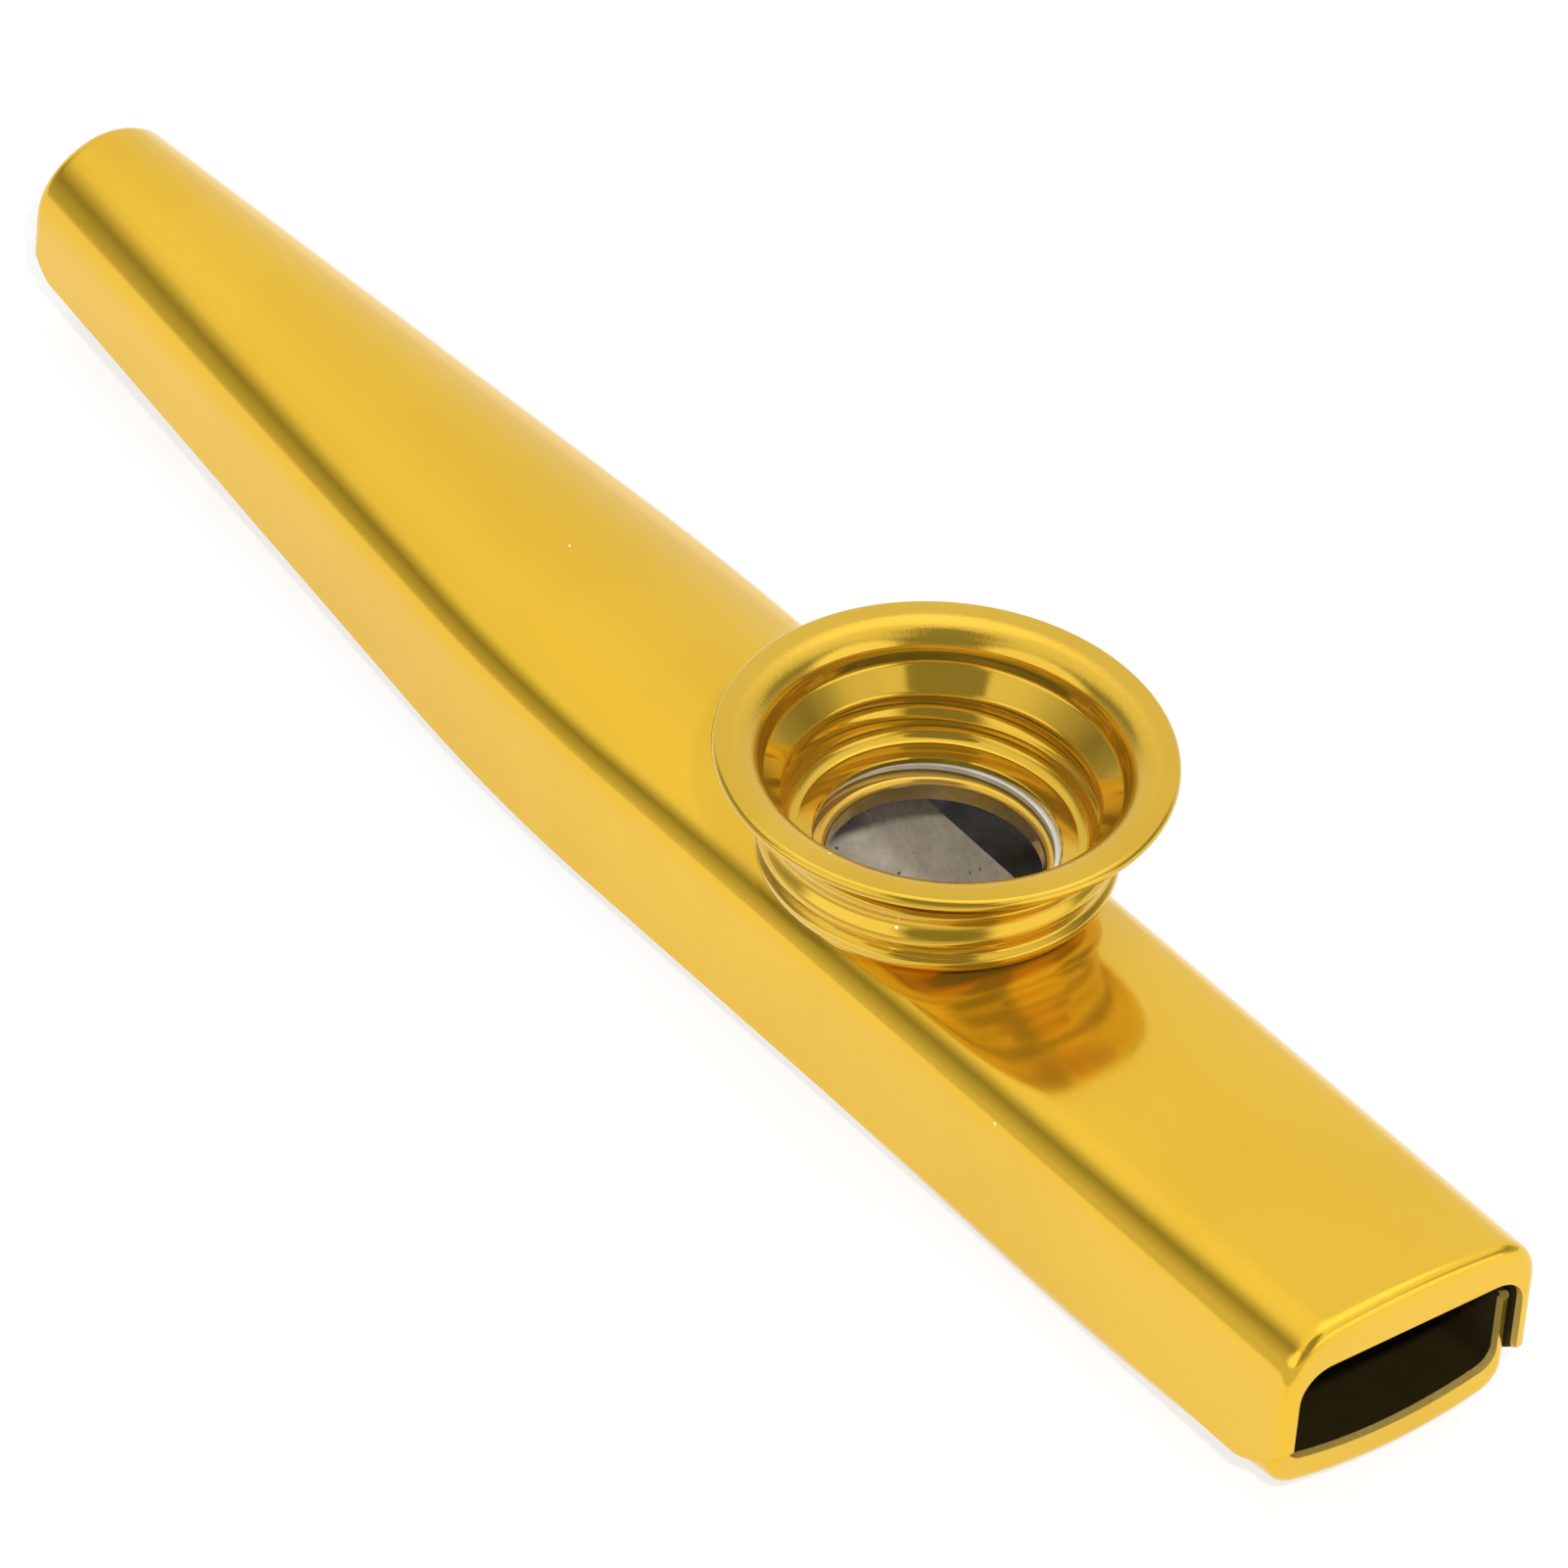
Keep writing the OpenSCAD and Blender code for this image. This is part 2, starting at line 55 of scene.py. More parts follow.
# %% Camera
MM = 0.001
FOCUS = Vector((18.25, 0, 13.6)) * MM
CAMERA_RIGHT = Vector((0.604813, 0.792863, 0.074627))
CAMERA_DOWN = Vector((0.549726, -0.347859, -0.759471))
CAMERA_AHEAD = Vector((-0.576197, 0.500362, -0.646247))
CAMERA_DISTANCE = 924.19 * MM
CAMERA_SHIFT = Vector((-8.4086, -3.8098)) * MM
SENSOR = 36.0
LENS = 383.36
CLIP_NEAR, CLIP_FAR = 0.05, 20

camera = bpy.data.objects.new("camera", bpy.data.cameras.new("camera"))
scene.collection.objects.link(camera)
camera.data.sensor_width = SENSOR
camera.data.lens = LENS
camera.data.clip_start = CLIP_NEAR
camera.data.clip_end = CLIP_FAR
place = (
    FOCUS
    - CAMERA_AHEAD * CAMERA_DISTANCE
    + CAMERA_RIGHT * CAMERA_SHIFT.x
    + CAMERA_DOWN * CAMERA_SHIFT.y
)
turned = Matrix((CAMERA_RIGHT, -CAMERA_DOWN, -CAMERA_AHEAD)).transposed().to_4x4()
camera.matrix_world = Matrix.Translation(place) @ turned
scene.camera = camera
print("camera at", [round(v, 3) for v in place])

# %% [markdown]
# ## Sizes
# The body is described at four places along its length: the tail, the shoulder, the turret and
# the mouth. Between them each size changes evenly, and a moving average rounds the bends, as a
# pressing tool's would be.

# %% Sizes of the body, in metres
BODY_LEN = 122 * MM
TAIL_X, MOUTH_X = -BODY_LEN / 2, BODY_LEN / 2
TURRET_X = MOUTH_X - 42.75 * MM
SHOULDER_X = MOUTH_X - 70.75 * MM
BLEND_LEN = BODY_LEN * 0.065
BLEND_SAMPLES = 4
SEAT_Z = 13.2 * MM
SHEET = 0.5 * MM
SKIRT_FIT = 0.08 * MM


def four(tail, shoulder, turret, mouth):
    """A size at the body's four places, given in millimetres or degrees."""
    return [[TAIL_X, tail], [SHOULDER_X, shoulder], [TURRET_X, turret], [MOUTH_X, mouth]]


HALF_WIDTHS = four(4.7, 9.075, 8.725, 8.675)
TOPS = four(11.5, 12.8, 12.9, 14.0)
SKIRTS = four(3.5, 1.6, 2.0, 3.25)
CORNERS = four(4.25, 2.6, 3.0, 3.2)
SLOPES = four(30.5, 29.5, 20.0, 6.0)


def lookup(places, x):
    if x <= places[0][0]:
        return places[0][1]
    for (x0, v0), (x1, v1) in zip(places, places[1:]):
        if x <= x1:
            return v0 + (v1 - v0) * (x - x0) / (x1 - x0)
    return places[-1][1]


def along(places, x):
    """The size at x, averaged over a window that shrinks to nothing at both ends."""
    reach = max(0.0, min(BLEND_LEN, x - TAIL_X, MOUTH_X - x))
    window = [i / BLEND_SAMPLES for i in range(-BLEND_SAMPLES, BLEND_SAMPLES + 1)]
    return sum(lookup(places, x + s * reach) for s in window) / len(window)


print("half widths in mm:", [round(along(HALF_WIDTHS, x), 2) for x, _ in HALF_WIDTHS])

# %% [markdown]
# ## The shape of a section
# Cut across, the upper shell is an arch: a straight side, a round edge and a crowned top that is
# highest in the middle. One function gives the arch as a list of points, evenly enough spaced
# that reflections run over it without a kink.

# %% One arched section
WALL_STEPS, EDGE_STEPS, CROWN_STEPS = 4, 10, 9
print("points in a section:", 2 * (WALL_STEPS + EDGE_STEPS + CROWN_STEPS) + 1)


def crown_shape(half_w, corner, slope):
    """Half width of the crowned top, and how far it rises above the round edge's end."""
    tilt = math.radians(slope)
    half = half_w - corner * (1 - math.sin(tilt))
    return half, half * math.tan(tilt) / 2


def edge_height(half_w, corner, slope, top):
    half, rise = crown_shape(half_w, corner, slope)
    return top - rise - corner * math.cos(math.radians(slope))


def arch(half_w, corner, slope, top, low):
    """Points (y, z) in millimetres from the lower edge at -Y over the top to +Y."""
    half, rise = crown_shape(half_w, corner, slope)
    edge = edge_height(half_w, corner, slope, top)
    side = []
    for i in range(WALL_STEPS):
        side.append((half_w, low + (edge - low) * i / WALL_STEPS))
    for i in range(EDGE_STEPS):
        t = math.radians(90 - (90 - slope) * i / EDGE_STEPS)
        side.append((half_w - corner + corner * math.sin(t), edge + corner * math.cos(t)))
    for i in range(CROWN_STEPS + 1):
        u = 1 - i / CROWN_STEPS
        side.append((half * u, top - rise * u * u))
    return [(-y, z) for y, z in side] + list(reversed(side[:-1]))


# %% [markdown]
# ## Where the sections stand
# Both shells turn in at their ends round a small radius, so sections crowd together there. The
# skirts' corners are cut away in a hollow curve, longer at the mouth than at the tail.

# %% Stations along the body
END_STEPS = 6
LIP_STEPS = 3
BODY_STEPS = 96
CORNER_STEPS = 12
MOUTH_CUT = (3.8, 2.35)
TAIL_CUT = (2.2, 1.6)
CUT_POWER = 1.5


def corner_rise(gap_mm, cut):
    length, height = cut
    return height * (max(0.0, length - max(0.0, gap_mm)) / length) ** CUT_POWER


def skirt_z(x):
    return (
        along(SKIRTS, x)
        + corner_rise((MOUTH_X - x) / MM, MOUTH_CUT)
        + corner_rise((x - TAIL_X) / MM, TAIL_CUT)
    )


def body_places(low_x, high_x):
    """Places between the two ends' roundings, closer together at the skirts' corners."""
    from_x, to_x = low_x + TAIL_CUT[0] * MM, high_x - MOUTH_CUT[0] * MM
    first = [low_x + (from_x - low_x) * i / CORNER_STEPS for i in range(1, CORNER_STEPS)]
    middle = [from_x + (to_x - from_x) * i / BODY_STEPS for i in range(BODY_STEPS + 1)]
    last = [to_x + (high_x - to_x) * i / CORNER_STEPS for i in range(1, CORNER_STEPS)]
    return first + middle + last


def end_places(end_x, side, radius):
    """Sections of a turned-in end: (x, inset) from the body inwards. radius is in millimetres."""
    angles = [math.radians(90 * i / END_STEPS) for i in range(END_STEPS + 1)]
    return [
        (end_x - side * radius * (1 - math.sin(a)) * MM, radius * (1 - math.cos(a)))
        for a in angles
    ]


# %% [markdown]
# ## From a flat grid to a pressed shell
# A flat grid of faces is the simplest sheet there is, and Blender makes it in one call. Extruding
# it gives a slab with two layers and closed sides. Then each row of the lower layer moves to a
# section of the outer face, and the row above it to the same section of the inner face. That is
# a closed sheet of exactly the right thickness, where a Solidify modifier would thin the tight
# corners.

# %% Sheet metal from an extruded grid
OUTSIDE, INSIDE, CUT_EDGE = 0, 1, 2


def sheet_metal(outer, inner):
    """A bmesh of a sheet between two lists of sections, each a row of points."""
    bm = bmesh.new()
    rows, columns = len(outer), len(outer[0])
    bmesh.ops.create_grid(bm, x_segments=columns - 1, y_segments=rows - 1, size=1)
    grown = bmesh.ops.extrude_face_region(bm, geom=bm.faces[:], use_keep_orig=True)
    raised = [item for item in grown["geom"] if isinstance(item, bmesh.types.BMVert)]
    bmesh.ops.translate(bm, verts=raised, vec=(0, 0, 1))
    for face in bm.faces:
        levels = {round(v.co.z) for v in face.verts}
        face.material_index = CUT_EDGE if len(levels) == 2 else (INSIDE if 1 in levels else OUTSIDE)
    layers = sorted(bm.verts, key=lambda v: [round(c, 5) for c in (v.co.z, v.co.y, v.co.x)])
    for vert, point in zip(layers, [p for row in outer + inner for p in row]):
        vert.co = point
    bmesh.ops.recalc_face_normals(bm, faces=bm.faces)
    return bm


SHARP = math.radians(32)


def piece_from(bm, name, materials):
    """Puts a finished bmesh into an object at the origin, with its sharp edges kept sharp."""
    mesh = bpy.data.meshes.new(name)
    bm.to_mesh(mesh)
    bm.free()
    for face in mesh.polygons:
        face.use_smooth = True
    mesh.set_sharp_from_angle(angle=SHARP)
    obj = bpy.data.objects.new(name, mesh)
    scene.collection.objects.link(obj)
    for material in materials:
        mesh.materials.append(material)
    print(name, len(mesh.vertices), "vertices")
    return obj


# %% [markdown]
# ## Node helpers
# Every finish starts from the Principled shader. Small helpers add a noise, a set of specks or a
# bump, so that the cells below read as a description of the metal.

# %% Material helpers


class Finish:
    """A material under construction, with the node calls that all finishes share."""

    def __init__(self, name, **sockets):
        self.material = bpy.data.materials.new(name)
        self.material.use_nodes = True
        self.nodes = self.material.node_tree.nodes
        self.links = self.material.node_tree.links
        self.shader = self.nodes["Principled BSDF"]
        self.coords = self.nodes.new("ShaderNodeTexCoord").outputs["Object"]
        for socket, value in sockets.items():
            self.shader.inputs[socket.replace("_", " ")].default_value = value

    def link(self, output, socket):
        self.links.new(output, self.shader.inputs[socket])

    def fill(self, sockets, values):
        """Gives each socket its value, which is a number or another node's output."""
        for socket, value in zip(sockets, values):
            if isinstance(value, (int, float)):
                socket.default_value = value
            else:
                self.links.new(value, socket)

    def mapped(self, scale=(1, 1, 1), offset=(0, 0, 0)):
        node = self.nodes.new("ShaderNodeMapping")
        node.inputs["Scale"].default_value = scale
        node.inputs["Location"].default_value = offset
        self.links.new(self.coords, node.inputs["Vector"])
        return node.outputs["Vector"]

    def noise(self, scale, detail=3.0, roughness=0.5, coords=None, distortion=0.0):
        node = self.nodes.new("ShaderNodeTexNoise")
        node.inputs["Scale"].default_value = scale
        node.inputs["Detail"].default_value = detail
        node.inputs["Roughness"].default_value = roughness
        node.inputs["Distortion"].default_value = distortion
        self.links.new(coords or self.coords, node.inputs["Vector"])
        return node.outputs["Fac"]

    def math(self, operation, a, b=0.0, clamp=False):
        node = self.nodes.new("ShaderNodeMath")
        node.operation = operation
        node.use_clamp = clamp
        self.fill(node.inputs, (a, b))
        return node.outputs["Value"]

    def map_range(self, value, low, high, to_low=0.0, to_high=1.0):
        node = self.nodes.new("ShaderNodeMapRange")
        self.links.new(value, node.inputs["Value"])
        ends = zip(("From Min", "From Max", "To Min", "To Max"), (low, high, to_low, to_high))
        for socket, end in ends:
            node.inputs[socket].default_value = end
        return node.outputs["Result"]

    def mix(self, factor, a, b):
        """A colour between a and b. Each is a colour or another node's output."""
        node = self.nodes.new("ShaderNodeMix")
        node.data_type = "RGBA"
        self.links.new(factor, node.inputs["Factor"])
        for socket, value in ((node.inputs[6], a), (node.inputs[7], b)):
            if isinstance(value, tuple):
                socket.default_value = (*value, 1)
            else:
                self.links.new(value, socket)
        return node.outputs[2]

    def specks(self, scale, size, share):
        """1 in round specks: one in each cell of a Voronoi pattern, kept in a share of them."""
        node = self.nodes.new("ShaderNodeTexVoronoi")
        node.inputs["Scale"].default_value = scale
        self.links.new(self.coords, node.inputs["Vector"])
        split = self.nodes.new("ShaderNodeSeparateColor")
        self.links.new(node.outputs["Color"], split.inputs["Color"])
        kept = self.math("LESS_THAN", split.outputs["Red"], share)
        radius = self.math("MULTIPLY", split.outputs["Green"], size)
        near = self.math("LESS_THAN", node.outputs["Distance"], radius)
        return self.math("MULTIPLY", kept, near)

    def bump(self, height, strength, distance, normal=None):
        node = self.nodes.new("ShaderNodeBump")
        node.inputs["Strength"].default_value = strength
        node.inputs["Distance"].default_value = distance
        self.links.new(height, node.inputs["Height"])
        if normal is not None:
            self.links.new(normal, node.inputs["Normal"])
        return node.outputs["Normal"]

    def split(self, vector):
        """The x, y and z of a vector, each as an output."""
        node = self.nodes.new("ShaderNodeSeparateXYZ")
        self.links.new(vector, node.inputs["Vector"])
        return node.outputs["X"], node.outputs["Y"], node.outputs["Z"]

    def join(self, x=0.0, y=0.0, z=0.0):
        node = self.nodes.new("ShaderNodeCombineXYZ")
        self.fill(node.inputs, (x, y, z))
        return node.outputs["Vector"]

    def round_axis(self):
        """Distance from the turret's axis, angle round it, and height."""
        x, y, z = self.split(self.mapped(offset=(-TURRET_X, 0, 0)))
        x2, y2 = self.math("MULTIPLY", x, x), self.math("MULTIPLY", y, y)
        return self.math("SQRT", self.math("ADD", x2, y2)), self.math("ARCTAN2", y, x), z


# %% [markdown]
# ## Gold-anodised aluminium
# Anodising grows a thin, hard, clear layer on the metal, and dye in its pores gives the gold.
# So the shader is a metal with a gold colour under a clear coat, which pales the surface where
# it is seen edge-on. The body was tumbled before it was dyed: its reflections are soft. The
# colour drifts a little, there are a few dust specks, and very fine lines run along the sheet.

# %% Satin gold of the body
METAL = 0.86
GOLD = (0.80, 0.495, 0.032)
GOLD_DEEP = (0.76, 0.465, 0.026)
DUST = (0.95, 0.88, 0.68)
DUST_METAL, DUST_ROUGHNESS = 0.2, 0.4


def drifting(gold, scale, deep, full):
    """A colour that drifts between two shades, as dye does from place to place."""
    return gold.mix(gold.map_range(gold.noise(scale, detail=2), 0.35, 0.65), deep, full)


def dusted(gold, dust, colour, rough):
    """Links a colour and a roughness with dust laid over them: pale, dull and hardly metal."""
    gold.link(gold.mix(dust, colour, DUST), "Base Color")
    gold.link(gold.map_range(dust, 0, 1, METAL, DUST_METAL), "Metallic")
    duller = gold.math("MULTIPLY", dust, DUST_ROUGHNESS)
    gold.link(gold.math("ADD", rough, duller), "Roughness")


def satin_gold():
    gold = Finish("gold_body", Coat_Weight=0.2, Coat_Roughness=0.08, Coat_IOR=1.5)
    colour = drifting(gold, 55, GOLD_DEEP, GOLD)
    grain = gold.noise(5200, detail=4, roughness=0.7)
    lines = gold.noise(900, detail=3, coords=gold.mapped(scale=(0.06, 1, 1)))
    rough = gold.map_range(lines, 0.3, 0.7, 0.11, 0.16)
    dusted(gold, gold.specks(260, size=0.035, share=0.3), colour, rough)
    flow = gold.bump(lines, strength=0.05, distance=0.02 * MM)
    gold.link(gold.bump(grain, strength=0.12, distance=0.01 * MM, normal=flow), "Normal")
    return gold.material


# %% [markdown]
# The cap and the turret are turned on a lathe and polished before they are dyed, so they mirror
# their surroundings. Fine rings round the axis are left from the polishing, and the roll of the
# lip shows short scratches across it, where the sheet was stretched.

# %% Bright gold of the turret and the cap
BRIGHT = (0.72, 0.46, 0.045)
BRIGHT_DEEP = (0.66, 0.41, 0.03)
# The radii at which the scratches start and are full, from the axis outwards and back again
SCRATCHES_IN, SCRATCHES_OUT = (10.2 * MM, 10.8 * MM), (12.4 * MM, 11.7 * MM)
SCRATCH_STRETCH = 60


def bright_gold(name, scratched):
    gold = Finish(name, Coat_Weight=0.2, Coat_Roughness=0.06, Coat_IOR=1.5)
    radius, angle, height = gold.round_axis()
    smear = gold.noise(420, detail=4, roughness=0.6)
    dusted(
        gold,
        gold.specks(420, size=0.05, share=0.25),
        drifting(gold, 90, BRIGHT_DEEP, BRIGHT),
        gold.map_range(smear, 0.35, 0.7, 0.06, 0.13),
    )
    rings = gold.noise(4200, detail=3, coords=gold.join(radius, 0, height))
    normal = gold.bump(rings, strength=0.06, distance=0.01 * MM)
    if scratched:
        fan = gold.join(angle, gold.math("MULTIPLY", radius, SCRATCH_STRETCH))
        strokes = gold.noise(48, detail=4, roughness=0.75, coords=fan)
        start, stop = gold.map_range(radius, *SCRATCHES_IN), gold.map_range(radius, *SCRATCHES_OUT)
        strokes = gold.math("MULTIPLY", strokes, gold.math("MULTIPLY", start, stop))
        normal = gold.bump(strokes, strength=0.4, distance=0.06 * MM, normal=normal)
    gold.link(normal, "Normal")
    return gold.material


# %% [markdown]
# Inside, the sheet is painted near black brown as painted shade, where little light reaches. Only
# the floor of the lower shell under the turret is bare, dull grey sheet with small dark pits, its
# light grey a painted pool of light. The cut edges are rough from the press tool and sparkle.

# %% Painted shade inside, a painted pool of light on the lower floor, and the cut edges
BARE_GREY_PAINTED_LIT = (0.74, 0.65, 0.50)
BARE_WORN_PAINTED_LIT = (0.46, 0.39, 0.29)
PIT = (0.12, 0.11, 0.10)
# Near black brown for the inside: painted shade, since little light reaches there
INSIDE_PAINTED_SHADE = (0.03, 0.021, 0.006)
INSIDE_PAINTED_SHADE_DEEP = tuple(0.75 * c for c in INSIDE_PAINTED_SHADE)
# Along x, where the lower floor is painted light grey: a painted pool of the light through the hole
PAINTED_LIGHT_FROM, PAINTED_LIGHT_TO, PAINTED_LIGHT_END = -10 * MM, 26 * MM, 6 * MM


def between_places(finish, start, full_from, full_to, stop):
    """1 along the middle of the body, falling to 0 at start and stop."""
    x, _, _ = finish.split(finish.coords)
    return finish.math(
        "MULTIPLY",
        finish.map_range(x, start, full_from),
        finish.map_range(x, stop, full_to),
    )


def inside_painted_light_and_shade(name, with_painted_lit_floor):
    bare = Finish(name, Metallic=0.15, Coat_Weight=0.0)
    cloud = bare.noise(700, detail=6, roughness=0.75)
    share = bare.map_range(cloud, 0.3, 0.7)
    colour = bare.mix(share, INSIDE_PAINTED_SHADE_DEEP, INSIDE_PAINTED_SHADE)
    # Painted light: under the turret the floor turns light grey with pits, elsewhere the painted
    # shade stays
    if with_painted_lit_floor:
        pits = bare.specks(2100, size=0.34, share=0.5)
        painted_lit_floor = bare.mix(pits, bare.mix(share, BARE_WORN_PAINTED_LIT, BARE_GREY_PAINTED_LIT), PIT)
        ends = PAINTED_LIGHT_FROM, PAINTED_LIGHT_FROM + PAINTED_LIGHT_END, PAINTED_LIGHT_TO, PAINTED_LIGHT_TO + PAINTED_LIGHT_END
        colour = bare.mix(between_places(bare, *ends), colour, painted_lit_floor)
    bare.link(colour, "Base Color")
    bare.link(bare.map_range(cloud, 0.3, 0.7, 0.5, 0.65), "Roughness")
    grain = bare.noise(4500, detail=3, roughness=0.7)
    bare.link(bare.bump(grain, strength=0.5, distance=0.03 * MM), "Normal")
    return bare.material


# Near the openings the edges sparkle. In between, under the skirts, they are painted near black:
# painted shade
TORN_PALE, TORN_GOLD = (0.80, 0.62, 0.20), (0.78, 0.50, 0.08)
EDGE_PAINTED_SHADE_SPAN = (TAIL_X + 3 * MM, TAIL_X + 6 * MM, MOUTH_X - 9 * MM, MOUTH_X - 6 * MM)


def cut_edge():
    cut = Finish("cut_edge", Metallic=0.6)
    tear = cut.noise(3800, detail=4, roughness=0.75)
    gilt = cut.mix(cut.map_range(tear, 0.4, 0.6), TORN_PALE, TORN_GOLD)
    # Painted shade: between the openings the edge takes the inside's near black colour
    cut.link(cut.mix(between_places(cut, *EDGE_PAINTED_SHADE_SPAN), gilt, INSIDE_PAINTED_SHADE), "Base Color")
    cut.link(cut.map_range(tear, 0.3, 0.7, 0.25, 0.5), "Roughness")
    cut.link(cut.bump(tear, strength=0.6, distance=0.06 * MM), "Normal")
    return cut.material


# %% [markdown]
# Each shell carries three finishes, one for each kind of face that the sheet has: its outside,
# its inside and its cut edges, in the order of the numbers that sheet_metal gave them.

# %% Materials of the shells
GOLD_BODY = satin_gold()
CUT = cut_edge()
UPPER_FINISHES = [GOLD_BODY, inside_painted_light_and_shade("painted_shade_inside", with_painted_lit_floor=False), CUT]
LOWER_FINISHES = [GOLD_BODY, inside_painted_light_and_shade("inside_painted_light_and_shade", with_painted_lit_floor=True), CUT]
print("finishes of the lower shell:", [finish.name for finish in LOWER_FINISHES])

# %% [markdown]
# ## The upper shell
# On the real kazoo this is one pressing: top, sides and the turned-in ends in a single sheet.
# It is drawn from the opening at the tail to the opening at the mouth. The inner skin is the
# same shape, set in by the sheet's thickness.

# %% Upper shell
END_ROUND = 0.75
SIDE_LIP = 0.9
OPENING_CORNER = 2.0
TAIL_BROW, MOUTH_BROW = 1.6, 3.0
SHEET_MM = SHEET / MM


def upper_section(x, inset):
    points = arch(
        along(HALF_WIDTHS, x) - inset,
        along(CORNERS, x) - inset,
        along(SLOPES, x),
        along(TOPS, x) - inset,
        skirt_z(x),
    )
    return [Vector((x, y * MM, z * MM)) for y, z in points]


def upper_opening(x, station, brow):
    points = arch(
        along(HALF_WIDTHS, station) - SIDE_LIP,
        OPENING_CORNER,
        0.0,
        along(TOPS, station) - brow,
        skirt_z(station),
    )
    return [Vector((x, y * MM, z * MM)) for y, z in points]


def between(first, last):
    """Sections in equal steps from one section to another, without the first and the last."""
    shares = [i / LIP_STEPS for i in range(1, LIP_STEPS)]
    return [[a.lerp(b, s) for a, b in zip(first, last)] for s in shares]


def end_to_end(first, tail, middle, mouth, last):
    """All sections of one skin, from the opening at the tail to the opening at the mouth."""
    from_tail, to_mouth = between(first, tail[0]), between(mouth[-1], last)
    return [first, *from_tail, *tail, *middle, *mouth, *to_mouth, last]


def upper_sections(depth):
    radius = END_ROUND - depth
    tail_end, mouth_end = TAIL_X + depth * MM, MOUTH_X - depth * MM
    tail = [upper_section(x, i + depth) for x, i in reversed(end_places(tail_end, -1, radius))]
    mouth = [upper_section(x, i + depth) for x, i in end_places(mouth_end, 1, radius)]
    low, high = TAIL_X + END_ROUND * MM, MOUTH_X - END_ROUND * MM
    middle = [upper_section(x, depth) for x in body_places(low, high)]
    first = upper_opening(tail_end, TAIL_X, TAIL_BROW)
    last = upper_opening(mouth_end, MOUTH_X, MOUTH_BROW)
    return end_to_end(first, tail, middle, mouth, last)


upper = sheet_metal(upper_sections(0.0), upper_sections(SHEET_MM))
upper_shell = piece_from(upper, "upper_shell_skin", UPPER_FINISHES)

# %% [markdown]
# ## Profiles that turn round the turret's axis
# The seat, the turret, the ring and the cap are all sheet metal turned round one axis. Each is a
# closed line of points, radius and height over the seat, that spin turns by 360 degrees.

# %% Spun pieces
TURNS = 192
MERGE_DIST = 0.0005 * MM


def arc(centre, radius, from_deg, to_deg, steps):
    angles = [math.radians(from_deg + (to_deg - from_deg) * i / steps) for i in range(steps + 1)]
    return [(centre[0] + radius * math.cos(a), centre[1] + radius * math.sin(a)) for a in angles]


def line(start, end, steps):
    """Points from start towards end, without the end."""
    return [
        (start[0] + (end[0] - start[0]) * i / steps, start[1] + (end[1] - start[1]) * i / steps)
        for i in range(steps)
    ]


def spun(profile, centre_x=TURRET_X, centre_y=0.0, base_z=SEAT_Z):
    """A bmesh of the closed profile, given in millimetres, turned round the vertical axis."""
    bm = bmesh.new()
    verts = [bm.verts.new((centre_x + r * MM, centre_y, base_z + z * MM)) for r, z in profile]
    edges = [bm.edges.new((a, b)) for a, b in zip(verts, verts[1:] + verts[:1])]
    bmesh.ops.spin(
        bm,
        geom=verts + edges,
        cent=(centre_x, centre_y, 0),
        axis=(0, 0, 1),
        angle=2 * math.pi,
        steps=TURNS,
        use_merge=True,
    )
    bmesh.ops.remove_doubles(bm, verts=bm.verts, dist=MERGE_DIST)
    bmesh.ops.recalc_face_normals(bm, faces=bm.faces)
    return bm


# %% [markdown]
# ## The seat of the turret
# The crowned top has a flat step pressed up round the hole, for the turret to stand on. The
# hole is cut, then the step is joined on, both with a Boolean modifier that is applied at once,
# because the two sheets have to run into each other as one.

# %% Seat and hole
HOLE_R = 6.1
TURRET_SHEET = 0.45
CLINCH_R = HOLE_R + TURRET_SHEET
TUBE_FIT, SEAT_W = 0.05, 1.2
SHELL_HOLE_R = CLINCH_R + TUBE_FIT
SEAT_R = SHELL_HOLE_R + SEAT_W
SEAT_DEEP, CUT_MARGIN = 3.2, 1.0
SEAT_ROUND, SEAT_ROUND_MID = 0.15, 0.04
SEAT_WALL = 1.0


def crown_z(x, y_mm):
    """Height in millimetres of the upper shell's outer face, on its crown or its round edge."""
    half_w, corner, slope = along(HALF_WIDTHS, x), along(CORNERS, x), along(SLOPES, x)
    top = along(TOPS, x)
    half, rise = crown_shape(half_w, corner, slope)
    if abs(y_mm) < half:
        return top - rise * (y_mm / half) ** 2
    reach = abs(y_mm) - half_w + corner
    return edge_height(half_w, corner, slope, top) + math.sqrt(corner**2 - reach**2)


def stamped_seat():
    """The step as a ring whose wall ends in the middle of the crown's sheet, all the way round."""
    profile = [(SHELL_HOLE_R, 0), (SEAT_R - SEAT_ROUND, 0)]
    profile += [(SEAT_R - SEAT_ROUND_MID, -SEAT_ROUND_MID), (SEAT_R, -SEAT_ROUND)]
    profile += [(SEAT_R, -SEAT_WALL), (SEAT_R - SHEET_MM, -SEAT_WALL)]
    profile += [(SEAT_R - SHEET_MM, -SHEET_MM), (SHELL_HOLE_R, -SHEET_MM)]
    bm = spun(profile)
    foot_z = SEAT_Z - SEAT_WALL * MM
    foot = [v for v in bm.verts if abs(v.co.z - foot_z) < 0.01 * MM]
    for vert in foot:
        vert.co.z = (crown_z(vert.co.x, vert.co.y / MM) - SHEET_MM / 2) * MM
    print("points at the foot of the seat:", len(foot))
    return bm


def cylinder(radius, low_mm, high_mm):
    bm = bmesh.new()
    bmesh.ops.create_cone(
        bm, cap_ends=True, segments=TURNS, radius1=radius * MM, radius2=radius * MM,
        depth=(high_mm - low_mm) * MM,
    )
    middle = (high_mm + low_mm) / 2 * MM
    bmesh.ops.translate(bm, verts=bm.verts, vec=(TURRET_X, 0, SEAT_Z + middle))
    return bm


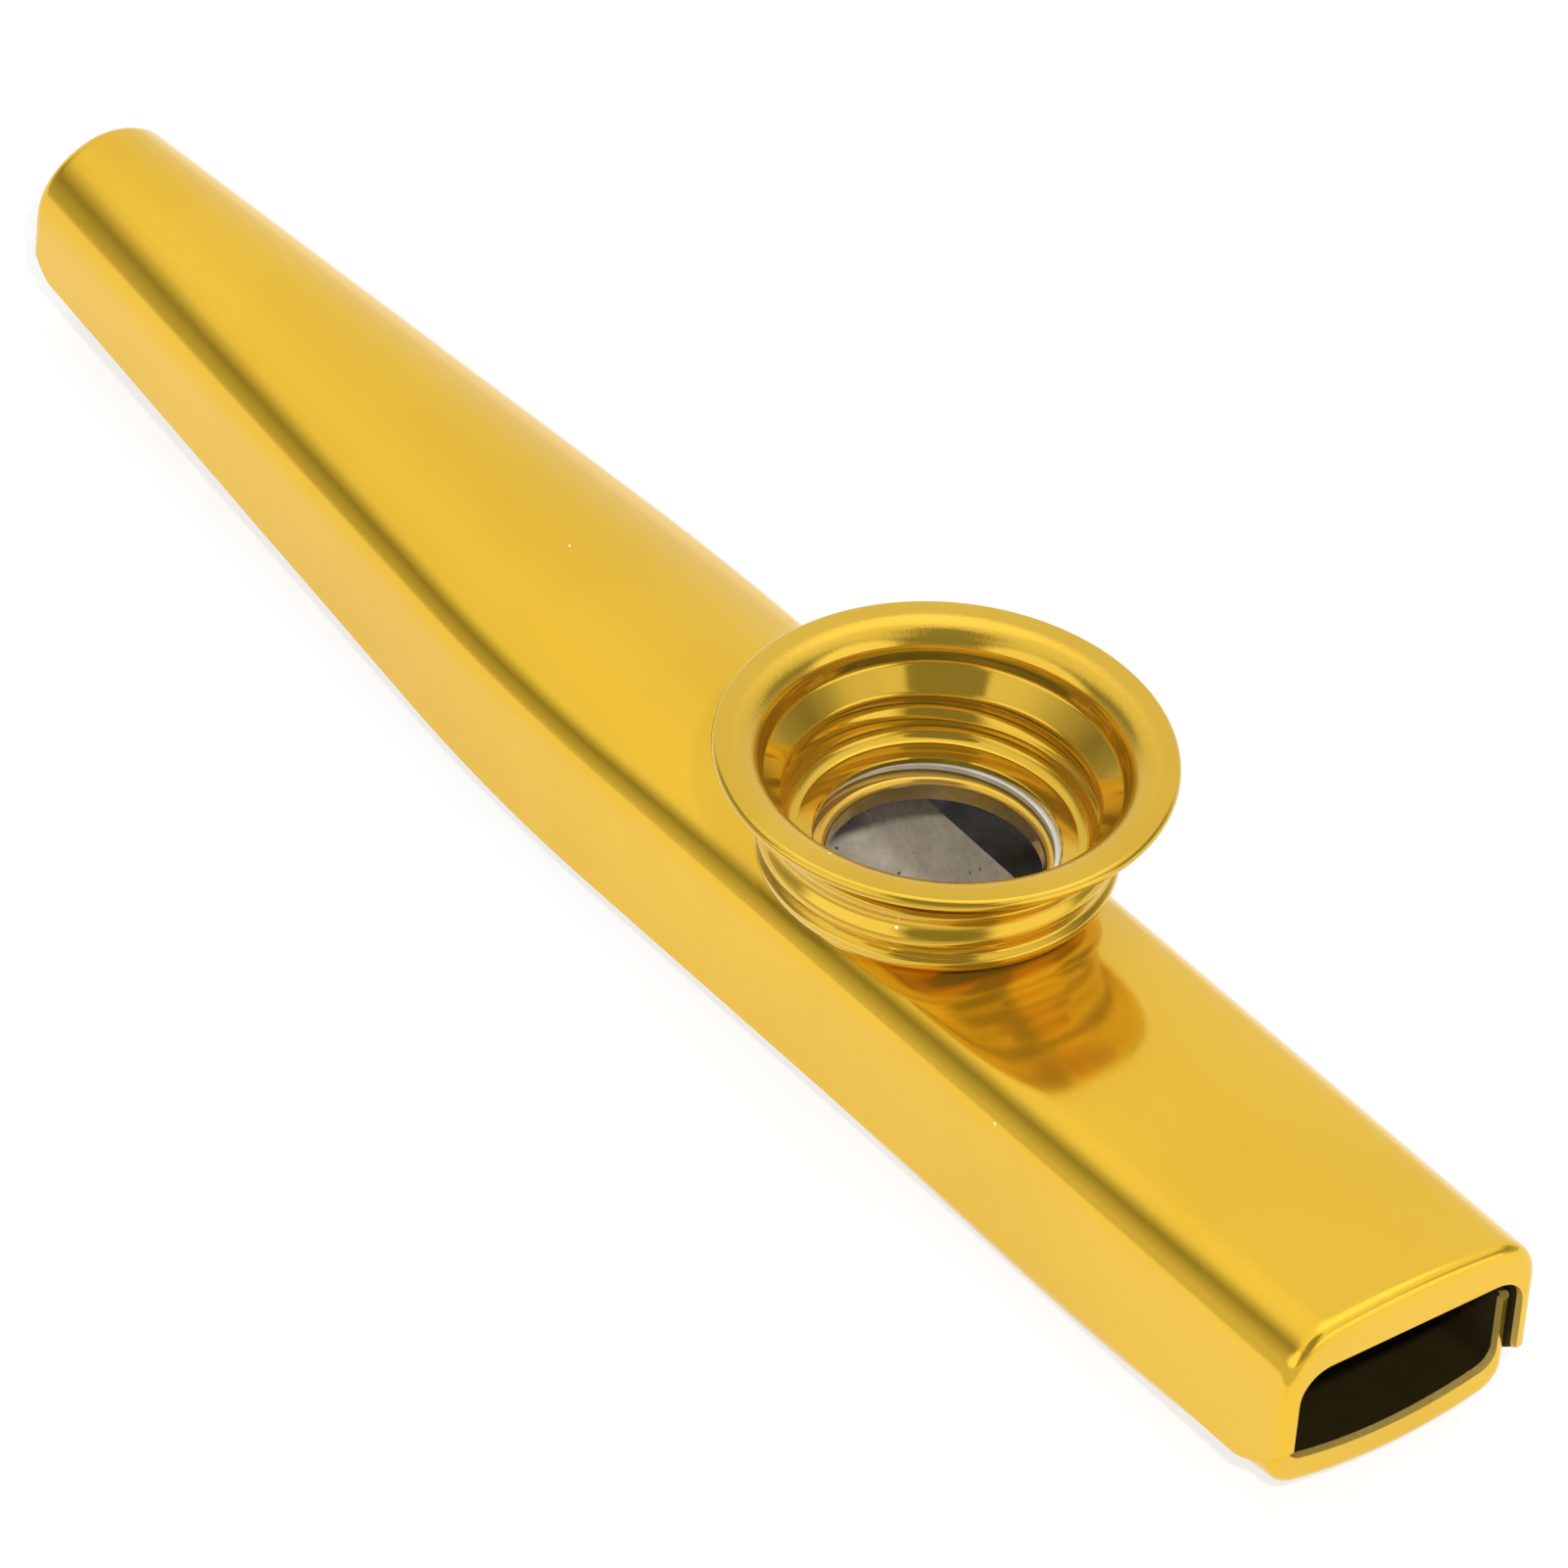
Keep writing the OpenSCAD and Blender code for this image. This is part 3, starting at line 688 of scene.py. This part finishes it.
def combine(obj, bm, operation):
    """Adds or cuts away a bmesh with a Boolean modifier, and applies it."""
    other = piece_from(bm, "tool", UPPER_FINISHES)
    modifier = obj.modifiers.new("join", "BOOLEAN")
    modifier.operation = operation
    modifier.solver = "EXACT"
    modifier.object = other
    graph = bpy.context.evaluated_depsgraph_get()
    mesh = bpy.data.meshes.new_from_object(obj.evaluated_get(graph))
    obj.modifiers.clear()
    old = obj.data
    obj.data = mesh
    bpy.data.meshes.remove(old)
    bpy.data.objects.remove(other)
    mesh.set_sharp_from_angle(angle=SHARP)


punch = cylinder(SEAT_R - SHEET_MM / 2, -SEAT_DEEP - CUT_MARGIN, CUT_MARGIN)
combine(upper_shell, punch, "DIFFERENCE")
combine(upper_shell, stamped_seat(), "UNION")
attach(upper_shell, "kazoo_body")
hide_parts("upper_shell")

# %% [markdown]
# ## The lower shell
# The lower shell is a shallow tray that sits inside the skirts. It is the same kind of arch,
# drawn upside down and then turned over.

# %% Lower shell
TRAY_CORNER, TRAY_ROUND, TRAY_LIP = 2.0, 0.7, 0.8
TRAY_RECESS = 1.0
TAIL_SILL, MOUTH_SILL = 1.2, 1.9
TRAY_DROP = 2.0
FLAT_FRONT_X, FLAT_BACK_X = MOUTH_X - 26 * MM, MOUTH_X - 85 * MM
BELLY_TAIL, BELLY_MOUTH = 1.9, 1.2
TRAY_SLOPE_TAIL, TRAY_SLOPE_MOUTH = 8.0, 14.0


def to_ends(x, at_tail, at_mouth):
    """A size of the belly that is 0 along its flat middle and grows to both ends."""
    if x > FLAT_FRONT_X:
        return at_mouth * ((x - FLAT_FRONT_X) / (MOUTH_X - FLAT_FRONT_X)) ** 2
    if x < FLAT_BACK_X:
        return at_tail * ((FLAT_BACK_X - x) / (FLAT_BACK_X - TAIL_X)) ** 2
    return 0.0


def belly_z(x):
    return to_ends(x, BELLY_TAIL, BELLY_MOUTH)


def tray_slope(x):
    return to_ends(x, TRAY_SLOPE_TAIL, TRAY_SLOPE_MOUTH)


def tray_top(x):
    sizes = [along(places, x) for places in (HALF_WIDTHS, CORNERS, SLOPES, TOPS)]
    return edge_height(*sizes) - TRAY_DROP


def tray_half(x):
    return along(HALF_WIDTHS, x) - SHEET_MM - SKIRT_FIT / MM


def turned_over(x, points):
    return [Vector((x, y * MM, -z * MM)) for y, z in points]


def tray_section(x, inset):
    low, high = -belly_z(x) - inset, -tray_top(x)
    points = arch(tray_half(x) - inset, TRAY_CORNER - inset, tray_slope(x), low, high)
    return turned_over(x, points)


def tray_opening(x, station, sill):
    points = arch(
        tray_half(station) - TRAY_LIP,
        TRAY_CORNER - TRAY_ROUND,
        tray_slope(station),
        -belly_z(station) - sill,
        -tray_top(station),
    )
    return turned_over(x, points)


def tray_sections(depth):
    radius = TRAY_ROUND - depth
    low, high = TAIL_X + TRAY_RECESS * MM, MOUTH_X - TRAY_RECESS * MM
    tail_end, mouth_end = low + depth * MM, high - depth * MM
    tail = [tray_section(x, i + depth) for x, i in reversed(end_places(tail_end, -1, radius))]
    mouth = [tray_section(x, i + depth) for x, i in end_places(mouth_end, 1, radius)]
    places = body_places(low + TRAY_ROUND * MM, high - TRAY_ROUND * MM)
    middle = [tray_section(x, depth) for x in places]
    first = tray_opening(tail_end, low, TAIL_SILL)
    last = tray_opening(mouth_end, high, MOUTH_SILL)
    return end_to_end(first, tail, middle, mouth, last)


lower = sheet_metal(tray_sections(0.0), tray_sections(SHEET_MM))
lower_shell = piece_from(lower, "lower_shell_skin", LOWER_FINISHES)
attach(lower_shell, "kazoo_body")
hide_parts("lower_shell")

# %% [markdown]
# ## The rolled thread
# A thread in thin sheet is rolled in, so the wall waves in and out together. The spun profile
# has many rings there, and every vertex of a ring is pushed in or out by a wave that climbs one
# pitch in one turn. The wave fades out at both ends, as the roller lifts off.

# %% Thread
PITCH, THREAD_DEPTH, THREAD_PHASE = 2.0, 0.4, 55.0
FADE_RUN = PITCH * 0.2
THREAD_ROWS = 30
THREAD_FROM_R = 8.0


def wave(angle_deg, z):
    turn = 360 * z / PITCH - angle_deg + THREAD_PHASE
    return (1 - math.cos(math.radians(turn))) / 2


def fade(z, low, high):
    u = max(0.0, min(1.0, min(z - low, high - z) / FADE_RUN))
    return u * u * (3 - 2 * u)


def roll_thread(bm, low, high, inwards):
    """Pushes the wall between two heights over the seat in or out by the wave."""
    for vert in bm.verts:
        z = (vert.co.z - SEAT_Z) / MM
        strength = fade(z, low, high)
        if strength <= 0:
            continue
        offset = Vector((vert.co.x - TURRET_X, vert.co.y))
        if offset.length < THREAD_FROM_R * MM:
            continue
        crest = wave(math.degrees(math.atan2(offset.y, offset.x)), z)
        step = THREAD_DEPTH * strength * ((crest - 1) if inwards else crest)
        moved = offset * (1 + step * MM / offset.length)
        vert.co.x, vert.co.y = TURRET_X + moved.x, moved.y


# %% [markdown]
# ## The turret
# A collar with a flat web, a tube through the shell that is folded over underneath, a round
# foot, the threaded wall, and a rolled bead at its rim.

# %% Turret
CREST = 10.2
BORE = CREST - TURRET_SHEET
TURRET_H, BEAD_H, BEAD_OUT = 4.65, 0.45, 0.12
FOOT = 1.1
CLINCH_W = 0.6
EDGE_BEVEL, RIM_BEVEL = 0.08, 0.1

bead_r = BEAD_H / 2
wall_top = TURRET_H - BEAD_H
fold_z = -SHEET_MM - TURRET_SHEET
foot_c = (CREST - FOOT, FOOT)
turret_profile = (
    [(HOLE_R, fold_z + EDGE_BEVEL), (HOLE_R + EDGE_BEVEL, fold_z)]
    + [(CLINCH_R + CLINCH_W, fold_z), (CLINCH_R + CLINCH_W, -SHEET_MM)]
    + [(CLINCH_R, -SHEET_MM), (CLINCH_R, 0)]
    + arc(foot_c, FOOT, -90, 0, steps=14)
    + line((CREST, FOOT), (CREST, wall_top), THREAD_ROWS)[1:]
    + [(CREST, wall_top)]
    + arc((CREST + BEAD_OUT - bead_r, TURRET_H - bead_r), bead_r, -60, 90, steps=14)
    + [(BORE + RIM_BEVEL, TURRET_H), (BORE, TURRET_H - RIM_BEVEL)]
    + [(BORE, wall_top)]
    + line((BORE, wall_top), (BORE, FOOT), THREAD_ROWS)[1:]
    + arc(foot_c, FOOT - TURRET_SHEET, 0, -90, steps=12)
    + arc((CLINCH_R, 0), TURRET_SHEET, 90, 180, steps=8)
)
turret = spun(turret_profile)
roll_thread(turret, FOOT, wall_top, inwards=True)
turret_wall = piece_from(turret, "turret_wall", [bright_gold("gold_turret", scratched=False)])
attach(turret_wall, "kazoo_body")
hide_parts("turret")

# %% [markdown]
# ## The film and its ring
# The film is clear and thinner than paper. The ring is bare aluminium and holds the film at its
# edge. Both lie loose in the turret, so they stand a little off its axis. First comes the ring,
# a spun profile with two rounded inner edges.

# %% Film and ring
FILM_Z, FILM_T = 0.47, 0.08
RING_R, RING_W = 8.45, 1.6
WEB_Z = 1.0
SEAT_GAP = 0.02
PLAY, PLAY_SIDE = 0.3 * MM, math.radians(229)
ring_z = FILM_Z + FILM_T
ring_h = WEB_Z - SEAT_GAP - ring_z
ring_round = ring_h / 4
RING_CENTRE = (TURRET_X + PLAY * math.cos(PLAY_SIDE), PLAY * math.sin(PLAY_SIDE))
SILVER, SILVER_DEEP = (0.72, 0.72, 0.67), (0.60, 0.60, 0.55)


def silver():
    bare = Finish("silver_ring", Metallic=0.6)
    radius, _, _ = bare.round_axis()
    rings = bare.noise(5000, detail=3, coords=bare.join(radius))
    tone = bare.map_range(bare.noise(500), 0.35, 0.65)
    bare.link(bare.mix(tone, SILVER_DEEP, SILVER), "Base Color")
    bare.link(bare.map_range(rings, 0.3, 0.7, 0.36, 0.5), "Roughness")
    bare.link(bare.bump(rings, strength=0.15, distance=0.01 * MM), "Normal")
    return bare.material


inner_r = RING_R - RING_W
ring_profile = (
    [(RING_R, 0), (RING_R, ring_h)]
    + arc((inner_r + ring_round, ring_h - ring_round), ring_round, 90, 180, steps=8)
    + arc((inner_r + ring_round, ring_round), ring_round, 180, 270, steps=8)
)
ring = spun(ring_profile, *RING_CENTRE, base_z=SEAT_Z + ring_z * MM)
ring_piece = piece_from(ring, "membrane_ring_metal", [silver()])
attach(ring_piece, "membrane")
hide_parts("membrane_ring")

# %% [markdown]
# A clear film shows mostly what lies behind it. So its alpha is close to nothing, with a faint
# haze that varies, and its gloss is turned down. It isn't quite flat: every vertex inside the ring
# is moved down by a shallow sag and a ripple, which is why its reflections wander.

# %% Film
FILM_RINGS = 40
SAG, SAG_SHARE = 0.015, 0.6
RIPPLES_X, RIPPLES_Y, RIPPLE_TURN = 1.7, 1.3, 0.6
FILM_EDGE, FILM_POLE = 0.03, 0.02
FILM_TINT = (0.75, 0.76, 0.78, 1)


def clear():
    film = Finish(
        "clear_film", Base_Color=FILM_TINT, Roughness=0.06, IOR=1.5, Specular_IOR_Level=0.1
    )
    haze = film.noise(260, detail=4, roughness=0.6, distortion=0.6)
    film.link(film.map_range(haze, 0.3, 0.75, 0.003, 0.02), "Alpha")
    film.link(film.bump(haze, strength=0.2, distance=0.2 * MM), "Normal")
    return film.material


def film_disc():
    half = FILM_T / 2
    rim = RING_R - FILM_EDGE
    radii = [FILM_POLE] + [rim * i / FILM_RINGS for i in range(1, FILM_RINGS + 1)]
    profile = [(r, -half) for r in radii] + [(rim + FILM_EDGE, 0)]
    profile += [(r, half) for r in reversed(radii)]
    bm = spun(profile, *RING_CENTRE, base_z=SEAT_Z + (FILM_Z + half) * MM)
    free = inner_r * MM
    for vert in bm.verts:
        offset = Vector((vert.co.x - RING_CENTRE[0], vert.co.y - RING_CENTRE[1]))
        share = max(0.0, 1 - (offset.length / free) ** 2)
        across = math.sin(offset.x / MM * RIPPLES_X + RIPPLE_TURN)
        ripple = across * math.cos(offset.y / MM * RIPPLES_Y)
        vert.co.z += SAG * MM * share * (ripple - SAG_SHARE)
    return bm


film_piece = piece_from(film_disc(), "membrane_film_sheet", [clear()])
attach(film_piece, "membrane")
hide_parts("membrane_film")

# %% [markdown]
# ## The screw cap
# A ledge with a hole presses on the ring, a rounded corner leads to the threaded wall, a sloped
# step goes over the turret's rim to a wide throat, and the lip rolls out to its folded edge. The
# step's cone is worked out from the rim that it has to clear: it runs past the rim's inner edge at
# a distance of one sheet and a small gap, and two round bends join it to the walls.

# %% Cap
CAP_SHEET, THREAD_GAP = 0.45, 0.1
CAP_ROOT = BORE - THREAD_GAP - THREAD_DEPTH
LIP_R, LIP_H, HEM_H, HEM_W = 13.0, 7.9, 0.74, 1.0
FLARE, THROAT_R = 1.7, 10.1
STEP_SLOPE, STEP_GAP, STEP_ROUND = 45.0, 0.08, 0.5
LEDGE_H, LEDGE_R, LEDGE_ROUND = 1.45, 6.9, 1.4

hem = HEM_H / 2
bend = CAP_SHEET / 3
flare_c = (THROAT_R + FLARE, LIP_H - FLARE)
tilt = math.radians(STEP_SLOPE)
edge_r = BORE - (CAP_SHEET + STEP_GAP) * math.sin(tilt)
edge_z = TURRET_H + (CAP_SHEET + STEP_GAP) * math.cos(tilt)
step_r = THROAT_R - STEP_ROUND * (1 - math.sin(tilt))
bend_r = CAP_ROOT + bend - (bend + CAP_SHEET) * math.sin(tilt)
step_c = (
    THROAT_R - STEP_ROUND,
    edge_z + (step_r - edge_r) * math.tan(tilt) + STEP_ROUND * math.cos(tilt),
)
bend_c = (
    CAP_ROOT + bend,
    edge_z + (bend_r - edge_r) * math.tan(tilt) - (bend + CAP_SHEET) * math.cos(tilt),
)
corner_c = (CAP_ROOT - LEDGE_ROUND, WEB_Z + LEDGE_ROUND)
cap_inner_r = CAP_ROOT - CAP_SHEET
cap_profile = (
    [(LEDGE_R, WEB_Z + EDGE_BEVEL), (LEDGE_R + EDGE_BEVEL, WEB_Z)]
    + arc(corner_c, LEDGE_ROUND, -90, 0, steps=14)
    + line((CAP_ROOT, corner_c[1]), (CAP_ROOT, bend_c[1]), THREAD_ROWS)[1:]
    + arc(bend_c, bend, 180, 90 + STEP_SLOPE, steps=5)
    + arc(step_c, STEP_ROUND + CAP_SHEET, STEP_SLOPE - 90, 0, steps=10)
    + arc(flare_c, FLARE - CAP_SHEET, 180, 90, steps=12)
    + [(LIP_R - HEM_W, LIP_H - CAP_SHEET), (LIP_R - HEM_W, LIP_H - HEM_H)]
    + arc((LIP_R - hem, LIP_H - hem), hem, -90, 90, steps=16)
    + line((LIP_R - hem, LIP_H), (flare_c[0], LIP_H), 4)[1:]
    + arc(flare_c, FLARE, 90, 180, steps=18)
    + arc(step_c, STEP_ROUND, 0, STEP_SLOPE - 90, steps=10)
    + arc(bend_c, bend + CAP_SHEET, 90 + STEP_SLOPE, 180, steps=8)
    + line((cap_inner_r, bend_c[1]), (cap_inner_r, corner_c[1]), THREAD_ROWS)[1:]
    + arc(corner_c, LEDGE_ROUND - CAP_SHEET, 0, -90, steps=12)
    + [(LEDGE_R + EDGE_BEVEL, LEDGE_H), (LEDGE_R, LEDGE_H - EDGE_BEVEL)]
)
cap = spun(cap_profile)
roll_thread(cap, corner_c[1], bend_c[1], inwards=False)
cap_piece = piece_from(cap, "screw_cap_sheet", [bright_gold("gold_cap", scratched=True)])
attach(cap_piece, "cap")
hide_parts("screw_cap")

# %% [markdown]
# ## The studio
# Polished metal is only as good as what it mirrors, so the studio is built with care. The kazoo
# lies on a white sheet that ends just in front of it, with a duller table beyond, which only the
# metal mirrors. To the camera the floor is nearly plain white, through Is Camera Ray, and Is
# Glossy Ray lets the gold mirror that white too. A quarter of the floor's colour is its real
# shading, so the shadow stays.

# %% Floor
FLOOR_GLOW = 0.75
SHEET_EDGE_NEAR = (56 * MM, -25.1 * MM)
SHEET_EDGE_NORMAL_DEG = -70.0
SHEET_EDGE_SOFT = 2 * MM
FRONT_LEVEL = 0.45

FLOOR_HALF = 3.0
FLOOR_WHITE = (0.86, 0.86, 0.86, 1)

floor_mesh = bmesh.new()
bmesh.ops.create_grid(floor_mesh, x_segments=2, y_segments=2, size=FLOOR_HALF)
floor = piece_from(floor_mesh, "floor", [])


def past_sheet(pale):
    """0 on the white sheet and 1 past its front edge."""
    x, y, _ = pale.split(pale.coords)
    turn = math.radians(SHEET_EDGE_NORMAL_DEG)
    ahead = pale.math(
        "ADD",
        pale.math("MULTIPLY", pale.math("SUBTRACT", x, SHEET_EDGE_NEAR[0]), math.cos(turn)),
        pale.math("MULTIPLY", pale.math("SUBTRACT", y, SHEET_EDGE_NEAR[1]), math.sin(turn)),
    )
    return pale.map_range(ahead, -SHEET_EDGE_SOFT, SHEET_EDGE_SOFT)


def floor_material():
    pale = Finish("floor_white", Base_Color=FLOOR_WHITE, Roughness=0.9)
    glow = pale.nodes.new("ShaderNodeEmission")
    path = pale.nodes.new("ShaderNodeLightPath")
    mirrored = pale.math("ADD", path.outputs["Is Glossy Ray"], path.outputs["Is Transmission Ray"])
    seen = pale.math("ADD", path.outputs["Is Camera Ray"], mirrored, clamp=True)
    off_sheet = pale.math("MULTIPLY", past_sheet(pale), mirrored, clamp=True)
    pale.links.new(pale.map_range(off_sheet, 0, 1, 1, FRONT_LEVEL), glow.inputs["Strength"])
    mixer = pale.nodes.new("ShaderNodeMixShader")
    pale.links.new(pale.math("MULTIPLY", seen, FLOOR_GLOW), mixer.inputs["Fac"])
    pale.links.new(pale.shader.outputs["BSDF"], mixer.inputs[1])
    pale.links.new(glow.outputs["Emission"], mixer.inputs[2])
    pale.links.new(mixer.outputs["Shader"], pale.nodes["Material Output"].inputs["Surface"])
    return pale.material


floor.data.materials.append(floor_material())

# %% [markdown]
# The world is the room as the metal sees it. It is bright overhead and dim half-way up. Round
# panels with soft edges are laid over that, each one over those before it: the white backdrop,
# two soft lights left and right of the camera, and the camera's dark side of the room between
# them, which draws the dark lines along the body's edge and down the cap. The last panel, high at
# the back, gives the roll of the cap its highlight.

# %% World
# Height as the sine of the elevation, and how bright the room is there
ROOM = [
    (-0.3, 0.5),
    (0.03, 0.5),
    (0.2, 0.38),
    (0.4, 0.16),
    (0.56, 0.52),
    (0.68, 0.98),
    (0.85, 1.1),
]
# Azimuth, elevation, angle of the even part, angle where it ends, and brightness
BACKDROP = (139, 5, 40, 62, 0.93)
LEFT_LIGHT = (-88, 5, 24, 38, 1.32)
RIGHT_LIGHT = (18, 10, 18, 32, 1.38)
DARK_SIDE = [(-32, 2, 14, 26, 0.32), (-34, 27, 15, 22, 0.2), (-36, 52, 18, 22, 0.2)]
HIGH_LIGHT = (128, 72, 20, 24, 1.55)
PANELS = [BACKDROP, LEFT_LIGHT, RIGHT_LIGHT, *DARK_SIDE, HIGH_LIGHT]


def direction(azimuth, elevation):
    az, el = math.radians(azimuth), math.radians(elevation)
    return Vector((math.cos(az) * math.cos(el), math.sin(az) * math.cos(el), math.sin(el)))


def add_node(tree, kind, settings=None, **inputs):
    """A node of the world with some settings, and some inputs linked or set by their names."""
    node = tree.nodes.new(kind)
    for name, value in (settings or {}).items():
        setattr(node, name, value)
    for name, value in inputs.items():
        socket = node.inputs[name.replace("_", " ")]
        if isinstance(value, bpy.types.NodeSocket):
            tree.links.new(value, socket)
        else:
            socket.default_value = value
    return node


def lay_over(tree, room, level, share):
    """The room's colour with an even grey laid over it, where share is 1."""
    mix = add_node(tree, "ShaderNodeMix", {"data_type": "RGBA"}, Factor=share)
    mix.inputs[7].default_value = (level, level, level, 1)
    tree.links.new(room, mix.inputs[6])
    return mix.outputs[2]


def room_by_height(tree, seen_from):
    split = add_node(tree, "ShaderNodeSeparateXYZ", Vector=seen_from)
    height = add_node(tree, "ShaderNodeMapRange", Value=split.outputs["Z"], From_Min=-1.0)
    ramp = add_node(tree, "ShaderNodeValToRGB", Fac=height.outputs["Result"])
    stops = ramp.color_ramp.elements
    while len(stops) < len(ROOM):
        stops.new(1.0)
    for stop, (sine, level) in zip(stops, ROOM):
        stop.position = (sine + 1) / 2
        stop.color = (level, level, level, 1)
    return ramp.outputs["Color"]


def panel_share(tree, seen_from, azimuth, elevation, even, ends):
    """1 inside a round panel, falling smoothly to 0 at its edge."""
    toward = add_node(tree, "ShaderNodeVectorMath", {"operation": "DOT_PRODUCT"})
    toward.inputs[1].default_value = direction(azimuth, elevation)
    tree.links.new(seen_from, toward.inputs[0])
    edge = add_node(
        tree,
        "ShaderNodeMapRange",
        {"interpolation_type": "SMOOTHSTEP"},
        Value=toward.outputs["Value"],
        From_Min=math.cos(math.radians(ends)),
        From_Max=math.cos(math.radians(even)),
    )
    return edge.outputs["Result"]


def make_world():
    world = bpy.data.worlds.new("studio")
    scene.world = world
    world.use_nodes = True
    tree = world.node_tree
    seen_from = tree.nodes.new("ShaderNodeTexCoord").outputs["Generated"]
    room = room_by_height(tree, seen_from)
    for *place, level in PANELS:
        room = lay_over(tree, room, level, panel_share(tree, seen_from, *place))
    path = tree.nodes.new("ShaderNodeLightPath")
    white = add_node(tree, "ShaderNodeMath", {"operation": "MAXIMUM"})
    tree.links.new(path.outputs["Is Camera Ray"], white.inputs[0])
    tree.links.new(path.outputs["Is Transmission Ray"], white.inputs[1])
    room = lay_over(tree, room, 1, white.outputs["Value"])
    tree.links.new(room, tree.nodes["Background"].inputs["Color"])
    print("panels in the room:", len(PANELS))


make_world()

# %% [markdown]
# Two small lamps do what the broad light can't. One stands close to the camera and lights the
# inside of the body through the membrane. The other, high at the back, casts the soft shadow in
# front of the body. Neither is seen in the metal.

# %% Lamps
KEY = {"azimuth": -35, "elevation": 46.5, "distance": 1.0, "size": 0.04, "power": 8.0}
BACK = {"azimuth": 118, "elevation": 64, "distance": 1.0, "size": 0.22, "power": 1.2}


def softbox(name, azimuth, elevation, distance, size, power):
    lamp = bpy.data.lights.new(name, "AREA")
    lamp.shape = "DISK"
    lamp.size = size
    lamp.energy = power
    obj = bpy.data.objects.new(name, lamp)
    scene.collection.objects.link(obj)
    toward = direction(azimuth, elevation)
    obj.location = FOCUS + toward * distance
    obj.rotation_euler = toward.to_track_quat("Z", "Y").to_euler()
    obj.visible_glossy = False
    print(name, "at", [round(v, 3) for v in obj.location])


softbox("key_lamp", **KEY)
softbox("back_lamp", **BACK)

# %% [markdown]
# The Standard view shows each colour about as it is written.

# %% Finish
scene.view_settings.view_transform = "Standard"
bpy.context.view_layer.update()
